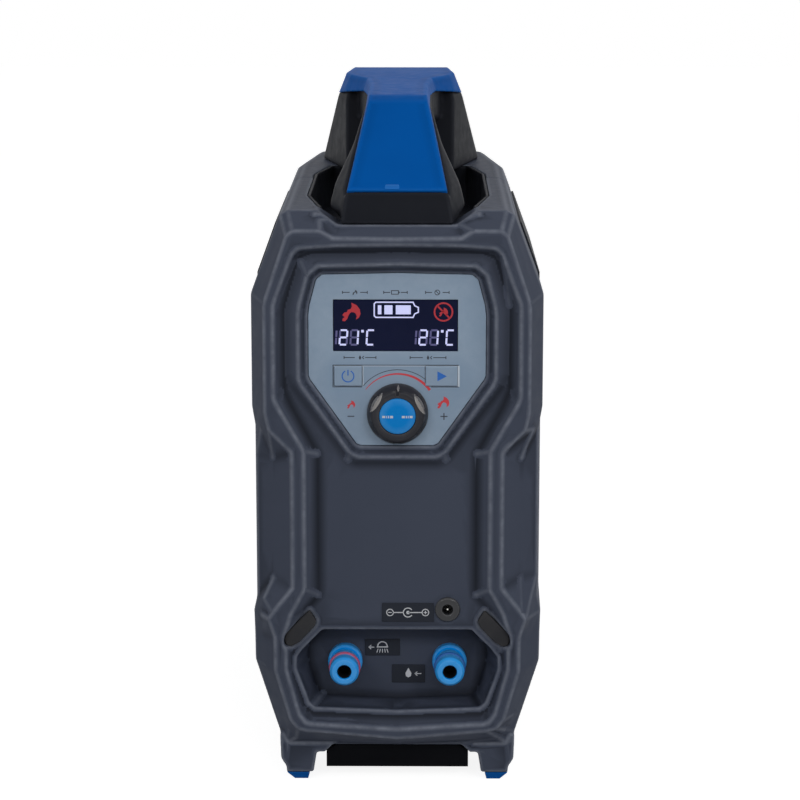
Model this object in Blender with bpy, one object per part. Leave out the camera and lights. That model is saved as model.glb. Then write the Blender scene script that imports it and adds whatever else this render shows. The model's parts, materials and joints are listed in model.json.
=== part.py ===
# Portable gas water heater for camping. Sizes are in millimetres until a solid is made,
# +X is to the right of someone facing the control panel, +Y goes to the back and +Z up.

import math

import bmesh
import bpy
from mathutils import Matrix, Vector

MM = 0.001

# Body
FRONT_Y = -190.0          # ridges of the front frame
REAR_Y = 190.0
HALF_WIDTH = 90.0
TOP_HALF = 72.0           # half width of the flat top
BODY_TOP = 364.0
BODY_BOTTOM = 22.5
SHOULDER_Z = 309.0
WALL = 3.0
CLEAR = 0.3               # gap between pieces that meet
THIN_GAP = 0.1            # gap behind a stuck-on plate
FACE_SINK = 6.5           # main face behind the ridges
CHAMFER_DEPTH = 18.0      # front chamfer, along Y
CHAMFER_WIDTH = 8.3
RIDGE_WIDTH = 6.2
SLOPE_WIDTH = 6.3
WAIST_HALF = 65.0         # outer ridge at the waist
WAIST_RIDGE = 7.7
WAIST_SLOPE = 8.3
WAIST_TOP = 217.0
WAIST_LOW = 130.0
POCKET_SINK = 9.0

# Top well and the channel that leads forward from it
WELL_HALF = 58.0
WELL_FRONT = -156.5
WELL_FRONT_SIDE = -96.5
WELL_REAR_SIDE = 25.0
WELL_REAR = 78.0
WELL_END_HALF = 48.7
WELL_DEPTH = 28.0
WELL_WALL = 2.0
NOTCH_HALF = 36.0
NOTCH_DEPTH = 8.0

# Legs, feet and base pan
LEG_OUT = 73.8
LEG_IN = 51.5
LEG_BOTTOM = 5.4
LEG_FRONT = -176.0
LEG_LENGTH = 44.0
REAR_LEG_SHIFT = 6.0      # rear legs stand this much closer together, a side
REAR_LEG_BACK = 158.0
FOOT_LENGTH = 30.0
PAN_HALF = 45.0
PAN_BOTTOM = 7.5
PAN_FRONT = -171.0
PAN_WALL = 1.5
AIR_HALF = 34.0           # air opening in the casing's floor
AIR_LENGTH = 220.0

# Control panel
PANEL_THICK = 2.8
PANEL_TOP = 325.5
PANEL_HALF = 54.5
PANEL_SIDE_LOW = 262.5
PANEL_LOW = 218.5
PANEL_LOW_HALF = 24.0
PANEL_FACE = -178.8
LEDGE = 6.0
DISPLAY = (-39.0, 37.0, 277.8, 309.3)
BUTTON_Z = (255.8, 268.3)
POWER_X = (-38.8, -21.6)
START_X = (17.4, 37.2)
BUTTON_PROUD = 0.8
BUTTON_DEPTH = 6.0
MODULE_DEPTH = 6.7
BOARD_THICK = 1.6

# Gas knob
KNOB_X = 0.3
KNOB_Z = 238.8
KNOB_RADIUS = 18.9
KNOB_HEIGHT = 10.2
KNOB_GAP = 0.4
KNOB_RING = 14.6          # radius of the flat front ring
CAP_RADIUS = 11.2
CAP_SINK = 1.6
SHAFT_RADIUS = 3.0
SCALLOP_ANGLES = (30.0, 150.0, 210.0, 270.0, 330.0)
SCALLOP_RADIUS = 15.0
SCALLOP_CUT = 2.3         # at half the knob's height
SCALLOP_LEAN = 33.0

# Connector recess, connectors, jack and label plates
RECESS_FLOOR = -160.0
CONNECTOR_X = 33.0
CONNECTOR_Z = 75.5
COLLAR_RADIUS = 11.0
NOSE_RADIUS = 9.2
BORE_RADIUS = 4.4
STUB_RADIUS = 6.0
CONNECTOR_TIP = -189.5
STUB_END = -146.0
RING_RADIUS = 1.3
JACK_X = 31.5
JACK_Z = 114.9
JACK_RADIUS = 7.9
JACK_BODY = 5.8
JACK_BORE = 3.1
JACK_PIN = 1.05
JACK_DEPTH = 13.0
PLATE_THICK = 0.6
JACK_PLATE = (-9.4, 23.0, 106.9, 119.0)
OUTLET_PLATE = (-20.6, 1.6, 77.9, 88.7)
INLET_PLATE = (-3.5, 17.5, 60.1, 71.9)

# Side panels and rear
PANEL_SIDE_LENGTH = 170.0
SIDE_LOW = 92.0
SIDE_REACH = 0.66         # share of the shoulder slope that a side panel covers
SIDE_PROUD = 1.2
LOUVRE_COUNT = 9
LOUVRE_PITCH = 14.0
LOUVRE_LOW = 150.0
LOUVRE_HEIGHT = 5.0
LOUVRE_LENGTH = 110.0
TAPER_START = 85.0
REAR_SCALE = 0.86
REAR_END_SCALE = 0.79
REAR_SINK = 5.0
GRILLE = (-44.0, 44.0, 288.0, 332.0)
GRILLE_SLOTS = 6
GRILLE_SLOT = 4.2
GRILLE_THICK = 3.2
COVER = (-38.0, 38.0, 122.0, 232.0)
COVER_THICK = 3.2
GAS_RECESS = (-24.0, 24.0, 36.0, 84.0)
GAS_RECESS_FLOOR = 167.0
GAS_Z = 58.0
GAS_RADIUS = 6.0

# Handle
HANDLE_TOP = 430.0
LEG_FOOT_HALF = 34.3
LEG_SIDE_HALF = 43.5
HANDLE_FRONT = -181.4     # front of the handle's foot
HANDLE_BACK = 168.0
BLOCK_HALF = 55.5         # rear block, at its foot
COVER_LOW = 377.0         # lower front edge of the blue cover
COVER_FRONT = -178.5
COVER_SKIN = 3.0
GRIP_DEPTH = 28.0         # from the top of the handle to the underside of the grip
BLOCK_EDGE = 18.0         # from the top of the handle to the rear block's upper edge
ROOT_HALF = 30.0

# Inside
CHASSIS_HALF = 62.0
BULKHEAD_HALF = 56.0
BULKHEAD_Y = -111.7
BULKHEAD_TOP = 318.0
SHEET = 1.5
CHAMBER_HALF_X = 52.0
CHAMBER_HALF_Y = 45.0
CHAMBER_LOW = 60.0
CHAMBER_TOP = 230.0
EXCHANGER_HEIGHT = 55.0
FIN_SLOTS = 9
FIN_GAP = 6.0
HOOD_TOP = 326.0
VALVE = (-17.0, 18.0, 220.0, 258.0)
VALVE_FRONT = -160.0
BATTERY = (-58.0, -14.0, 112.0, 200.0)
BATTERY_FRONT = -150.0
BURNER_LOW = 66.0
BURNER_TOP = 84.0
BURNER_HALF_Y = 30.0
BURNER_SLOTS = 8
GAS_PIPE_RADIUS = 4.0
WATER_PIPE_RADIUS = 4.5
MANIFOLD_Z = 76.0
MANIFOLD_Y = -79.0
ROD_X = 25.0
ROD_Z = 104.0
SENSOR_RADIUS = 10.5
SENSOR_LENGTH = 7.0

FACE_Y = FRONT_Y + FACE_SINK
EDGE_Y = FRONT_Y + CHAMFER_DEPTH
REAR_LEG_FRONT = REAR_LEG_BACK - LEG_LENGTH
PAN_REAR = REAR_LEG_FRONT - CLEAR

# Colour, roughness and metallic value of each finish
FINISHES = {
    "charcoal_plastic": ((0.042, 0.045, 0.054), 0.55, 0.0),
    "black_plastic": ((0.012, 0.012, 0.014), 0.5, 0.0),
    "blue_plastic": ((0.0, 0.08, 0.36), 0.4, 0.0),
    "connector_blue": ((0.01, 0.19, 0.64), 0.3, 0.0),
    "panel_grey": ((0.21, 0.28, 0.38), 0.45, 0.0),
    "dark_glass": ((0.008, 0.007, 0.02), 0.12, 0.0),
    "label_film": ((0.02, 0.02, 0.024), 0.4, 0.0),
    "red_rubber": ((0.55, 0.08, 0.12), 0.6, 0.0),
    "steel": ((0.45, 0.45, 0.46), 0.35, 1.0),
    "brass": ((0.6, 0.42, 0.16), 0.3, 1.0),
    "copper": ((0.72, 0.33, 0.2), 0.3, 1.0),
    "ceramic": ((0.75, 0.73, 0.68), 0.5, 0.0),
    "circuit_green": ((0.01, 0.1, 0.04), 0.5, 0.0),
}


# Tools for making solids

def clear_scene():
    for thing in list(bpy.data.objects):
        bpy.data.objects.remove(thing, do_unlink=True)


def finish_material(name):
    material = bpy.data.materials.get(name)
    if material is None:
        colour, roughness, metallic = FINISHES[name]
        material = bpy.data.materials.new(name)
        material.use_nodes = True
        shader = material.node_tree.nodes["Principled BSDF"]
        shader.inputs["Base Color"].default_value = (*colour, 1.0)
        shader.inputs["Roughness"].default_value = roughness
        shader.inputs["Metallic"].default_value = metallic
    return material


def closed_mesh(bm):
    """Turns a closed bmesh in millimetres into a mesh in metres whose faces point out."""
    bmesh.ops.recalc_face_normals(bm, faces=bm.faces)
    bmesh.ops.scale(bm, vec=(MM, MM, MM), verts=bm.verts)
    mesh = bpy.data.meshes.new("solid")
    bm.to_mesh(mesh)
    bm.free()
    return mesh


def solid(name, finish, bm):
    piece = bpy.data.objects.new(name, closed_mesh(bm))
    bpy.context.scene.collection.objects.link(piece)
    piece.data.materials.append(finish_material(finish))
    return piece


def combine(piece, bm, operation):
    tool = bpy.data.objects.new("tool", closed_mesh(bm))
    bpy.context.scene.collection.objects.link(tool)
    step = piece.modifiers.new("step", "BOOLEAN")
    step.solver = "EXACT"
    step.operation = operation
    step.object = tool
    bpy.context.view_layer.update()
    graph = bpy.context.evaluated_depsgraph_get()
    mesh = bpy.data.meshes.new_from_object(piece.evaluated_get(graph))
    piece.modifiers.clear()
    piece.data = mesh
    bpy.data.objects.remove(tool, do_unlink=True)


def cut(piece, bm):
    combine(piece, bm, "DIFFERENCE")


def join(piece, bm):
    combine(piece, bm, "UNION")


def smooth(piece, angle=32):
    piece.data.shade_smooth()
    piece.data.set_sharp_from_angle(angle=math.radians(angle))


def set_origin(piece, x, y, z):
    place = Vector((x, y, z)) * MM
    piece.data.transform(Matrix.Translation(-place))
    piece.location = place


def bridge(bm, one, two):
    for k in range(len(one)):
        n = (k + 1) % len(one)
        bm.faces.new((one[k], one[n], two[n], two[k]))


def loft(loops):
    """Bridges loops of equally many points and caps both ends."""
    bm = bmesh.new()
    rings = [[bm.verts.new(point) for point in loop] for loop in loops]
    for one, two in zip(rings, rings[1:]):
        bridge(bm, one, two)
    bm.faces.new(rings[0])
    bm.faces.new(rings[-1])
    return bm


def shell(outer, hollow):
    """A bowl: outer loops from the rim to the closed end, then hollow loops back to the rim."""
    bm = bmesh.new()
    rings = [[bm.verts.new(point) for point in loop] for loop in outer + hollow]
    for k, ring in enumerate(rings):
        following = rings[(k + 1) % len(rings)]
        if k == len(outer) - 1:
            bm.faces.new(ring)
            bm.faces.new(following)
        else:
            bridge(bm, ring, following)
    return bm


def at_y(outline, y):
    return [(x, y, z) for x, z in outline]


def at_z(outline, z):
    return [(x, y, z) for x, y in outline]


def prism_y(outline, y0, y1):
    return loft([at_y(outline, y0), at_y(outline, y1)])


def prism_z(outline, z0, z1):
    return loft([at_z(outline, z0), at_z(outline, z1)])


def box(x0, x1, y0, y1, z0, z1):
    return prism_z([(x0, y0), (x1, y0), (x1, y1), (x0, y1)], z0, z1)


def plate(rect, y0, y1, grow=0.0):
    x0, x1, z0, z1 = rect
    return box(x0 - grow, x1 + grow, y0, y1, z0 - grow, z1 + grow)


def lathe(profile, x, z, sides=24):
    """Turns a profile of (radius, y) points about an axis along Y through x, z."""
    bm = bmesh.new()
    turns = [2 * math.pi * k / sides for k in range(sides)]
    rings = []
    for radius, y in profile:
        spots = turns if radius > 1e-6 else turns[:1]
        rings.append([bm.verts.new((x + radius * math.cos(a), y, z + radius * math.sin(a)))
                      for a in spots])
    if len(rings[0]) > 1 or len(rings[-1]) > 1:
        rings.append(rings[0])
    for one, two in zip(rings, rings[1:]):
        for k in range(sides):
            n = (k + 1) % sides
            corners = [one[k % len(one)], one[n % len(one)], two[n % len(two)], two[k % len(two)]]
            unique = list(dict.fromkeys(corners))
            if len(unique) > 2:
                bm.faces.new(unique)
    return bm


def rod(radius, x, z, y0, y1, sides=24):
    return lathe([(0, y0), (radius, y0), (radius, y1), (0, y1)], x, z, sides)


def smooth_path(points, steps=5):
    """Points along a smooth curve through the given ones."""
    knots = [Vector(p) for p in points]
    knots = [2 * knots[0] - knots[1]] + knots + [2 * knots[-1] - knots[-2]]
    path = []
    for a, b, c, d in zip(knots, knots[1:], knots[2:], knots[3:]):
        for k in range(steps):
            t = k / steps
            path.append(0.5 * (2 * b + (c - a) * t + (2 * a - 5 * b + 4 * c - d) * t ** 2
                               + (3 * b - a - 3 * c + d) * t ** 3))
    path.append(knots[-2])
    return path


def pipe(points, radius, sides=10):
    path = smooth_path(points)
    last = len(path) - 1
    loops = []
    side = None
    for k, point in enumerate(path):
        ahead = (path[min(k + 1, last)] - path[max(k - 1, 0)]).normalized()
        if k in (0, last):
            one, two = (points[0], points[1]) if k == 0 else (points[-2], points[-1])
            ahead = (Vector(two) - Vector(one)).normalized()
        if side is None:
            side = ahead.orthogonal().normalized()
        side = (side - ahead * side.dot(ahead)).normalized()
        up = ahead.cross(side)
        loops.append([point + radius * (side * math.cos(a) + up * math.sin(a))
                      for a in (2 * math.pi * i / sides for i in range(sides))])
    return loft(loops)


def mirrored(half):
    """Closes an outline given from the middle of the top to the middle of the bottom."""
    return half + [(-x, z) for x, z in half[-2:0:-1]]


def inset(outline, amount):
    """Moves a closed outline inwards by an even amount; outlines run clockwise from the front."""
    result = []
    count = len(outline)
    for k, here in enumerate(outline):
        before = Vector(outline[k - 1])
        after = Vector(outline[(k + 1) % count])
        here = Vector(here)
        one = (here - before).normalized()
        two = (after - here).normalized()
        inward = (Vector((one.y, -one.x)) + Vector((two.y, -two.x))).normalized()
        reach = amount / max(inward.dot(Vector((one.y, -one.x))), 0.35)
        result.append(tuple(here + inward * reach))
    return result


def shrunk(outline, amount):
    """Moves a convex outline inwards by scaling it about its middle, which keeps short edges."""
    half = max(x for x, z in outline)
    low, high = min(z for x, z in outline), max(z for x, z in outline)
    middle, reach = (low + high) / 2, (high - low) / 2
    return [(x * (1 - amount / half), middle + (z - middle) * (1 - amount / reach)) for x, z in outline]


def between(one, two, share):
    return [tuple(a + (b - a) * share for a, b in zip(p, q)) for p, q in zip(one, two)]


# Body outlines, right half, from the middle of the top to the middle of the bottom:
# side of the body, outer ridge, inner ridge and edge of the main face

def frame_rows():
    t, w, b, s = BODY_TOP, HALF_WIDTH, BODY_BOTTOM, SHOULDER_Z
    outer = w - CHAMFER_WIDTH
    inner = outer - RIDGE_WIDTH
    face = inner - SLOPE_WIDTH
    waist = WAIST_HALF - WAIST_RIDGE
    waist_face = waist - WAIST_SLOPE
    top = TOP_HALF
    return [
        ((0, t), (0, t - 15.5), (0, t - 19.5), (0, t - 24)),
        ((NOTCH_HALF, t), (NOTCH_HALF + 3, t - 15), (NOTCH_HALF, t - 20), (NOTCH_HALF, t - 24.2)),
        ((NOTCH_HALF + 12, t), (NOTCH_HALF + 10.5, t - 10.3), (NOTCH_HALF + 8, t - 20.5),
         (NOTCH_HALF + 8, t - 24.4)),
        ((top - 5, t), (top - 8.5, t - 10.4), (top - 12, t - 21.6), (top - 15, t - 25.5)),
        ((top, t - 2.6), (top - 4.3, t - 13.6), (top - 8.5, t - 25), (top - 11.5, t - 28)),
        ((w, s + 3.5), (outer - 0.2, s), (inner - 0.2, s - 1), (face - 0.4, s - 2)),
        ((w, s - 3), (outer, s - 5), (inner, s - 6), (face, s - 6)),
        ((w, WAIST_TOP + 25), (outer, WAIST_TOP + 24), (inner, WAIST_TOP + 33), (face, WAIST_TOP + 37)),
        ((w, WAIST_TOP + 12), (outer - 2.5, WAIST_TOP + 13), (inner - 1.6, WAIST_TOP + 29),
         (face - 3.6, WAIST_TOP + 28)),
        ((w, WAIST_TOP - 6), (WAIST_HALF, WAIST_TOP - 1), (waist, WAIST_TOP), (waist_face, WAIST_TOP - 3)),
        ((w, WAIST_LOW + 5), (WAIST_HALF, WAIST_LOW), (waist, WAIST_LOW - 1), (waist_face, WAIST_LOW - 6)),
        ((w, WAIST_LOW - 9), (outer - 4, WAIST_LOW - 16), (inner - 9.6, WAIST_LOW - 17),
         (face - 10.6, WAIST_LOW - 18)),
        ((w, WAIST_LOW - 19), (outer - 1.2, WAIST_LOW - 20), (inner - 5.2, WAIST_LOW - 31),
         (face - 3.4, WAIST_LOW - 31)),
        ((w - 0.4, WAIST_LOW - 33), (outer - 5.3, WAIST_LOW - 32), (inner - 6.6, WAIST_LOW - 41),
         (face - 4.4, WAIST_LOW - 41)),
        ((w - 0.6, 79), (outer - 5.5, 76), (inner - 6.6, 77.5), (face - 4.2, 76.5)),
        ((w - 11, 46), (outer - 14.6, 44.5), (inner - 14.6, 48), (face - 11.8, 51)),
        ((w - 15.5, b + 9.5), (outer - 19.3, b + 16.1), (inner - 18.2, b + 20.5), (face - 14.4, b + 25.2)),
        ((w - 19, b), (outer - 25, b + 14.6), (inner - 21.5, b + 19.4), (face - 17.4, b + 24.2)),
        ((0, b), (0, b + 9.6), (0, b + 16), (0, b + 22.8)),
    ]


POCKET_ROWS = (8, 9, 10, 11)


def column(rows, k):
    return mirrored([row[k] for row in rows])


def in_pocket(index, rows):
    count = len(rows)
    return index in POCKET_ROWS or (2 * (count - 1) - index) in POCKET_ROWS


def chamfer_loops(rows):
    """The front edge of the sides and the middle of the front chamfer, which sinks into the pockets."""
    side, outer = column(rows, 0), column(rows, 1)
    edge, middle = [], []
    for k, (p, q) in enumerate(zip(side, outer)):
        if in_pocket(k, rows):
            sign = 1 if p[0] > 0 else -1
            edge.append((p[0] - sign * 2.2, EDGE_Y, p[1]))
            share = 0.52
            middle.append((p[0] + (q[0] - p[0]) * share, FRONT_Y + POCKET_SINK, p[1]))
        else:
            edge.append((p[0], EDGE_Y, p[1]))
            middle.append(((p[0] + q[0]) / 2, (EDGE_Y + FRONT_Y) / 2, (p[1] + q[1]) / 2))
    return edge, middle


def panel_outline(grow=0.0):
    half = [(0, PANEL_TOP + 0.6), (PANEL_HALF - 8.5, PANEL_TOP - 0.4), (PANEL_HALF - 5, PANEL_TOP - 3.4),
            (PANEL_HALF - 0.7, 306), (PANEL_HALF, 300), (PANEL_HALF, PANEL_SIDE_LOW),
            (PANEL_HALF - 1, PANEL_SIDE_LOW - 2.6), (PANEL_LOW_HALF + 1.2, PANEL_LOW + 1.2),
            (PANEL_LOW_HALF - 1.5, PANEL_LOW), (0, PANEL_LOW)]
    return inset(mirrored(half), -grow)


def bezel_outline():
    """Foot of the raised surround: wide at the top and sides, narrow along the V."""
    face_half = HALF_WIDTH - CHAMFER_WIDTH - RIDGE_WIDTH - SLOPE_WIDTH
    half = [(0, BODY_TOP - 25.2), (PANEL_HALF - 2.5, BODY_TOP - 26), (PANEL_HALF + 4, BODY_TOP - 30),
            (face_half - 1.6, 306), (face_half - 1.2, 300), (face_half - 1.4, PANEL_SIDE_LOW + 1),
            (face_half - 4, PANEL_SIDE_LOW - 5.5), (PANEL_LOW_HALF + 6.2, PANEL_LOW - 8.2),
            (PANEL_LOW_HALF + 1.5, PANEL_LOW - 10.2), (0, PANEL_LOW - 10.2)]
    return mirrored(half)


def recess_outline():
    half = [(0, 101.4), (46.9, 101.4), (59.5, 88.4), (63.2, 83.5), (63.4, 76), (55.4, 53.6),
            (52, 50.6), (0, 48.7)]
    return mirrored(half)


def recess_floor():
    half = [(0, 100.4), (45, 100.4), (54, 90), (56.5, 84.5), (56.5, 75), (51, 57), (47.5, 52.2), (0, 50)]
    return mirrored(half)


def well_outline(grow=0.0):
    end, half = WELL_END_HALF + grow, WELL_HALF + grow
    right = [(end, WELL_FRONT - grow), (half, WELL_FRONT_SIDE), (half, WELL_REAR_SIDE),
             (end, WELL_REAR + grow)]
    return right + [(-x, y) for x, y in reversed(right)]


def notch_cutter(grow=0.0):
    low = BODY_TOP - NOTCH_DEPTH - grow
    top = BODY_TOP + 6
    wide = NOTCH_HALF + 12.4 + grow
    spread = wide + 6 * 12.4 / NOTCH_DEPTH
    outline = [(-NOTCH_HALF - grow, low), (NOTCH_HALF + grow, low), (spread, top), (-spread, top)]
    return prism_y(outline, FRONT_Y - 5, WELL_FRONT + 3)


# Shells

def leg_outline(shift=0.0):
    out, inn = LEG_OUT - shift, LEG_IN - shift
    top = BODY_BOTTOM + WALL - 0.5
    return [(out + 0.4, top + 5.5), (out, BODY_BOTTOM - 8), (out - 3.6, LEG_BOTTOM + 3.4),
            (out - 3.6, LEG_BOTTOM), (inn + 1.6, LEG_BOTTOM), (inn - 0.5, BODY_BOTTOM - 3.7),
            (inn - 6, BODY_BOTTOM - 3.5), (inn - 12, top), (out - 5, top), (out - 2, top + 5.5)]


def flipped(outline):
    return [(-x, z) for x, z in outline]


def add_legs(casing, y0, y1, shift):
    leg = leg_outline(shift)
    for outline in (leg, flipped(leg)):
        join(casing, prism_y(outline, y0, y1))


def side_strip(out_by, in_by, extra=0.0):
    """Cross section of a side panel: up the side and over the shoulder, right side."""
    knee = Vector((HALF_WIDTH, SHOULDER_Z + 3.5))
    slope = Vector((TOP_HALF, BODY_TOP - 2.6)) - knee
    high = knee + slope * SIDE_REACH + slope.normalized() * extra
    outward = Vector((slope.y, -slope.x)).normalized()
    bisect = (outward + Vector((1, 0))).normalized()
    points = [Vector((HALF_WIDTH, SIDE_LOW - extra)), knee, high]
    ways = [Vector((1, 0)), bisect, outward]
    outer = [tuple(p + v * out_by) for p, v in zip(points, ways)]
    inner = [tuple(p - v * in_by) for p, v in zip(points, ways)]
    return outer + inner[::-1]


def cut_shared_openings(casing):
    half = PANEL_SIDE_LENGTH / 2 + CLEAR
    window = side_strip(9, 9, CLEAR)
    for outline in (window, flipped(window)):
        cut(casing, prism_y(outline, -half, half))
    cut(casing, prism_z(well_outline(), BODY_TOP - 12, BODY_TOP + 12))
    cut(casing, box(-AIR_HALF, AIR_HALF, -AIR_LENGTH / 2, AIR_LENGTH / 2, BODY_BOTTOM - 6, BODY_BOTTOM + 7))


def make_front_casing():
    rows = frame_rows()
    side, outer, inner, face = (column(rows, k) for k in range(4))
    edge, middle = chamfer_loops(rows)
    seam = -CLEAR / 2
    bend = EDGE_Y + 32
    loops = [at_y(side, seam), at_y(side, bend), edge, middle, at_y(outer, FRONT_Y),
             at_y(inner, FRONT_Y), at_y(face, FACE_Y)]
    hollow = [at_y(face, FACE_Y + WALL + 0.5), at_y(inset(outer, 5), FRONT_Y + 5),
              at_y(inset(side, 2 * WALL), EDGE_Y + 2), at_y(inset(side, WALL), bend),
              at_y(inset(side, WALL), seam)]
    casing = solid("front_casing", "charcoal_plastic", shell(loops, hollow))

    surround = panel_outline(5.9)
    foot = bezel_outline()
    join(casing, loft([at_y(foot, FACE_Y + 2), at_y(foot, FACE_Y), at_y(surround, FACE_Y - 2.6)]))
    join(casing, prism_y(panel_outline(5), FACE_Y + 1.5, PANEL_FACE + PANEL_THICK + 4))
    pocket = panel_outline(CLEAR)
    lip = between(at_y(surround, FACE_Y - 2.6), at_y(panel_outline(1.0), PANEL_FACE - 1.2), -0.25)
    cut(casing, loft([lip, at_y(panel_outline(1.0), PANEL_FACE - 1.2), at_y(pocket, PANEL_FACE - 1.2),
                      at_y(pocket, PANEL_FACE + PANEL_THICK + CLEAR)]))
    cut(casing, prism_y(panel_outline(-LEDGE), PANEL_FACE, PANEL_FACE + PANEL_THICK + 12))

    mouth, floor = recess_outline(), recess_floor()
    join(casing, loft([at_y(inset(mouth, -2.4), FACE_Y + 1), at_y(inset(floor, -3), RECESS_FLOOR + WALL)]))
    beyond = between(mouth, floor, -0.4)
    cut(casing, loft([at_y(beyond, FACE_Y + 0.4 * (FACE_Y - RECESS_FLOOR)), at_y(floor, RECESS_FLOOR)]))
    for x in (-CONNECTOR_X, CONNECTOR_X):
        cut(casing, rod(STUB_RADIUS + CLEAR, x, CONNECTOR_Z, RECESS_FLOOR - 5, RECESS_FLOOR + 8))
    cut(casing, rod(JACK_BODY + CLEAR, JACK_X, JACK_Z, FACE_Y - 5, FACE_Y + 8))

    join(casing, box(-NOTCH_HALF - 14, NOTCH_HALF + 14, EDGE_Y - 5, WELL_FRONT + 2,
                     BODY_TOP - NOTCH_DEPTH - WALL, BODY_TOP - 1.5))
    cut_shared_openings(casing)
    cut(casing, notch_cutter())
    for outline in (plug_outline(CLEAR), flipped(plug_outline(CLEAR))):
        cut(casing, prism_y(outline, FRONT_Y - 5, FACE_Y + 1.8 + CLEAR))
    add_legs(casing, LEG_FRONT, LEG_FRONT + LEG_LENGTH, 0)
    smooth(casing, 20)


def plug_outline(grow=0.0):
    """A corner plug on the frame above the recess, right side."""
    out, low = HALF_WIDTH - CHAMFER_WIDTH - RIDGE_WIDTH, WAIST_LOW - 40
    points = [(20.9, 24.2), (6.1, 9.4), (5.1, 5.4), (5.9, 2.2), (9.5, 1.2), (13.9, 3.6), (23.9, 14.0),
              (25.1, 17.6)]
    return inset([(out - x, low + z) for x, z in points], -grow)


def make_plugs():
    for side, outline in (("right", plug_outline()), ("left", flipped(plug_outline()))):
        smooth(solid(f"corner_plug_{side}", "black_plastic", prism_y(outline, FACE_Y - 2.2, FACE_Y + 1.8)))


def rear_loops():
    side = column(frame_rows(), 0)

    def scaled(amount):
        return [(x * amount, z) for x, z in side]

    late = scaled(REAR_SCALE)
    end = shrunk(scaled(REAR_END_SCALE), 1.5)
    ridge = shrunk(end, 6)
    face = shrunk(end, 12)
    outer = [at_y(side, CLEAR / 2), at_y(side, TAPER_START), at_y(late, REAR_Y - 20), at_y(end, REAR_Y - 6),
             at_y(ridge, REAR_Y), at_y(face, REAR_Y - REAR_SINK)]
    hollow = [at_y(face, REAR_Y - REAR_SINK - WALL), at_y(shrunk(end, 7), REAR_Y - REAR_SINK - WALL - 3),
              at_y(shrunk(late, WALL), REAR_Y - 24), at_y(inset(side, WALL), TAPER_START),
              at_y(inset(side, WALL), CLEAR / 2)]
    return outer, hollow


def make_rear_casing():
    outer, hollow = rear_loops()
    casing = solid("rear_casing", "charcoal_plastic", shell(outer, hollow))
    back = REAR_Y - REAR_SINK
    join(casing, plate(GAS_RECESS, GAS_RECESS_FLOOR - WALL, back - 1, WALL))
    cut(casing, plate(GAS_RECESS, GAS_RECESS_FLOOR, REAR_Y + 5))
    cut(casing, rod(GAS_RADIUS + CLEAR, 0, GAS_Z, GAS_RECESS_FLOOR - 8, GAS_RECESS_FLOOR + 5))
    cut(casing, plate(GRILLE, back - 9, REAR_Y + 5, CLEAR))
    cut(casing, plate(COVER, back - 9, REAR_Y + 5, CLEAR))
    cut_shared_openings(casing)
    add_legs(casing, REAR_LEG_FRONT, REAR_LEG_BACK, REAR_LEG_SHIFT)
    smooth(casing, 20)


def make_side_panels():
    half = PANEL_SIDE_LENGTH / 2
    strip = side_strip(SIDE_PROUD, WALL)
    for name, outline, sign in (("right_side_panel", strip, 1), ("left_side_panel", flipped(strip), -1)):
        panel = solid(name, "black_plastic", prism_y(outline, -half, half))
        for k in range(LOUVRE_COUNT):
            low = LOUVRE_LOW + k * LOUVRE_PITCH
            reach = sorted((sign * (HALF_WIDTH - 9), sign * (HALF_WIDTH + 9)))
            cut(panel, box(*reach, -LOUVRE_LENGTH / 2, LOUVRE_LENGTH / 2, low, low + LOUVRE_HEIGHT))
        smooth(panel, 15)


def make_well():
    rim = well_outline(-CLEAR)
    inside = well_outline(-CLEAR - WELL_WALL)
    low = BODY_TOP - WELL_DEPTH
    tray = solid("handle_well", "black_plastic", prism_z(rim, low - WELL_WALL, BODY_TOP - 0.4))
    cut(tray, prism_z(inside, low, BODY_TOP + 5))
    cut(tray, notch_cutter(CLEAR))
    smooth(tray, 15)


def make_base():
    outline = [(PAN_HALF, PAN_BOTTOM), (PAN_HALF, BODY_BOTTOM - 4), (PAN_HALF - 6, BODY_BOTTOM - CLEAR),
               (6 - PAN_HALF, BODY_BOTTOM - CLEAR), (-PAN_HALF, BODY_BOTTOM - 4), (-PAN_HALF, PAN_BOTTOM)]
    pan = solid("base_pan", "black_plastic", prism_y(outline, PAN_FRONT, PAN_REAR))
    cut(pan, box(8 - PAN_HALF, PAN_HALF - 8, PAN_FRONT + PAN_WALL, PAN_REAR - PAN_WALL,
                 PAN_BOTTOM + PAN_WALL, BODY_BOTTOM + 5))


def make_feet():
    ends = (("front", LEG_FRONT + 1.5, 0.0), ("rear", REAR_LEG_FRONT + 6, REAR_LEG_SHIFT))
    for end, y0, shift in ends:
        y1 = y0 + FOOT_LENGTH
        out, inn = LEG_OUT - 3.6 - shift, LEG_IN + 1.6 + 2.4 - shift
        top = LEG_BOTTOM - CLEAR
        for sign, side in ((-1, "left"), (1, "right")):
            wide = [(out, y0), (out, y1), (inn, y1), (inn, y0)]
            low = [(out - 5, y0 + 2), (out - 5, y1 - 2), (inn + 1.2, y1 - 2), (inn + 1.2, y0 + 2)]
            loops = [at_z([(sign * x, y) for x, y in low], 0),
                     at_z([(sign * x, y) for x, y in between(wide, low, 0.15)], top - 1),
                     at_z([(sign * x, y) for x, y in wide], top)]
            solid(f"foot_{end}_{side}", "blue_plastic", loft(loops))


# Control panel

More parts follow.
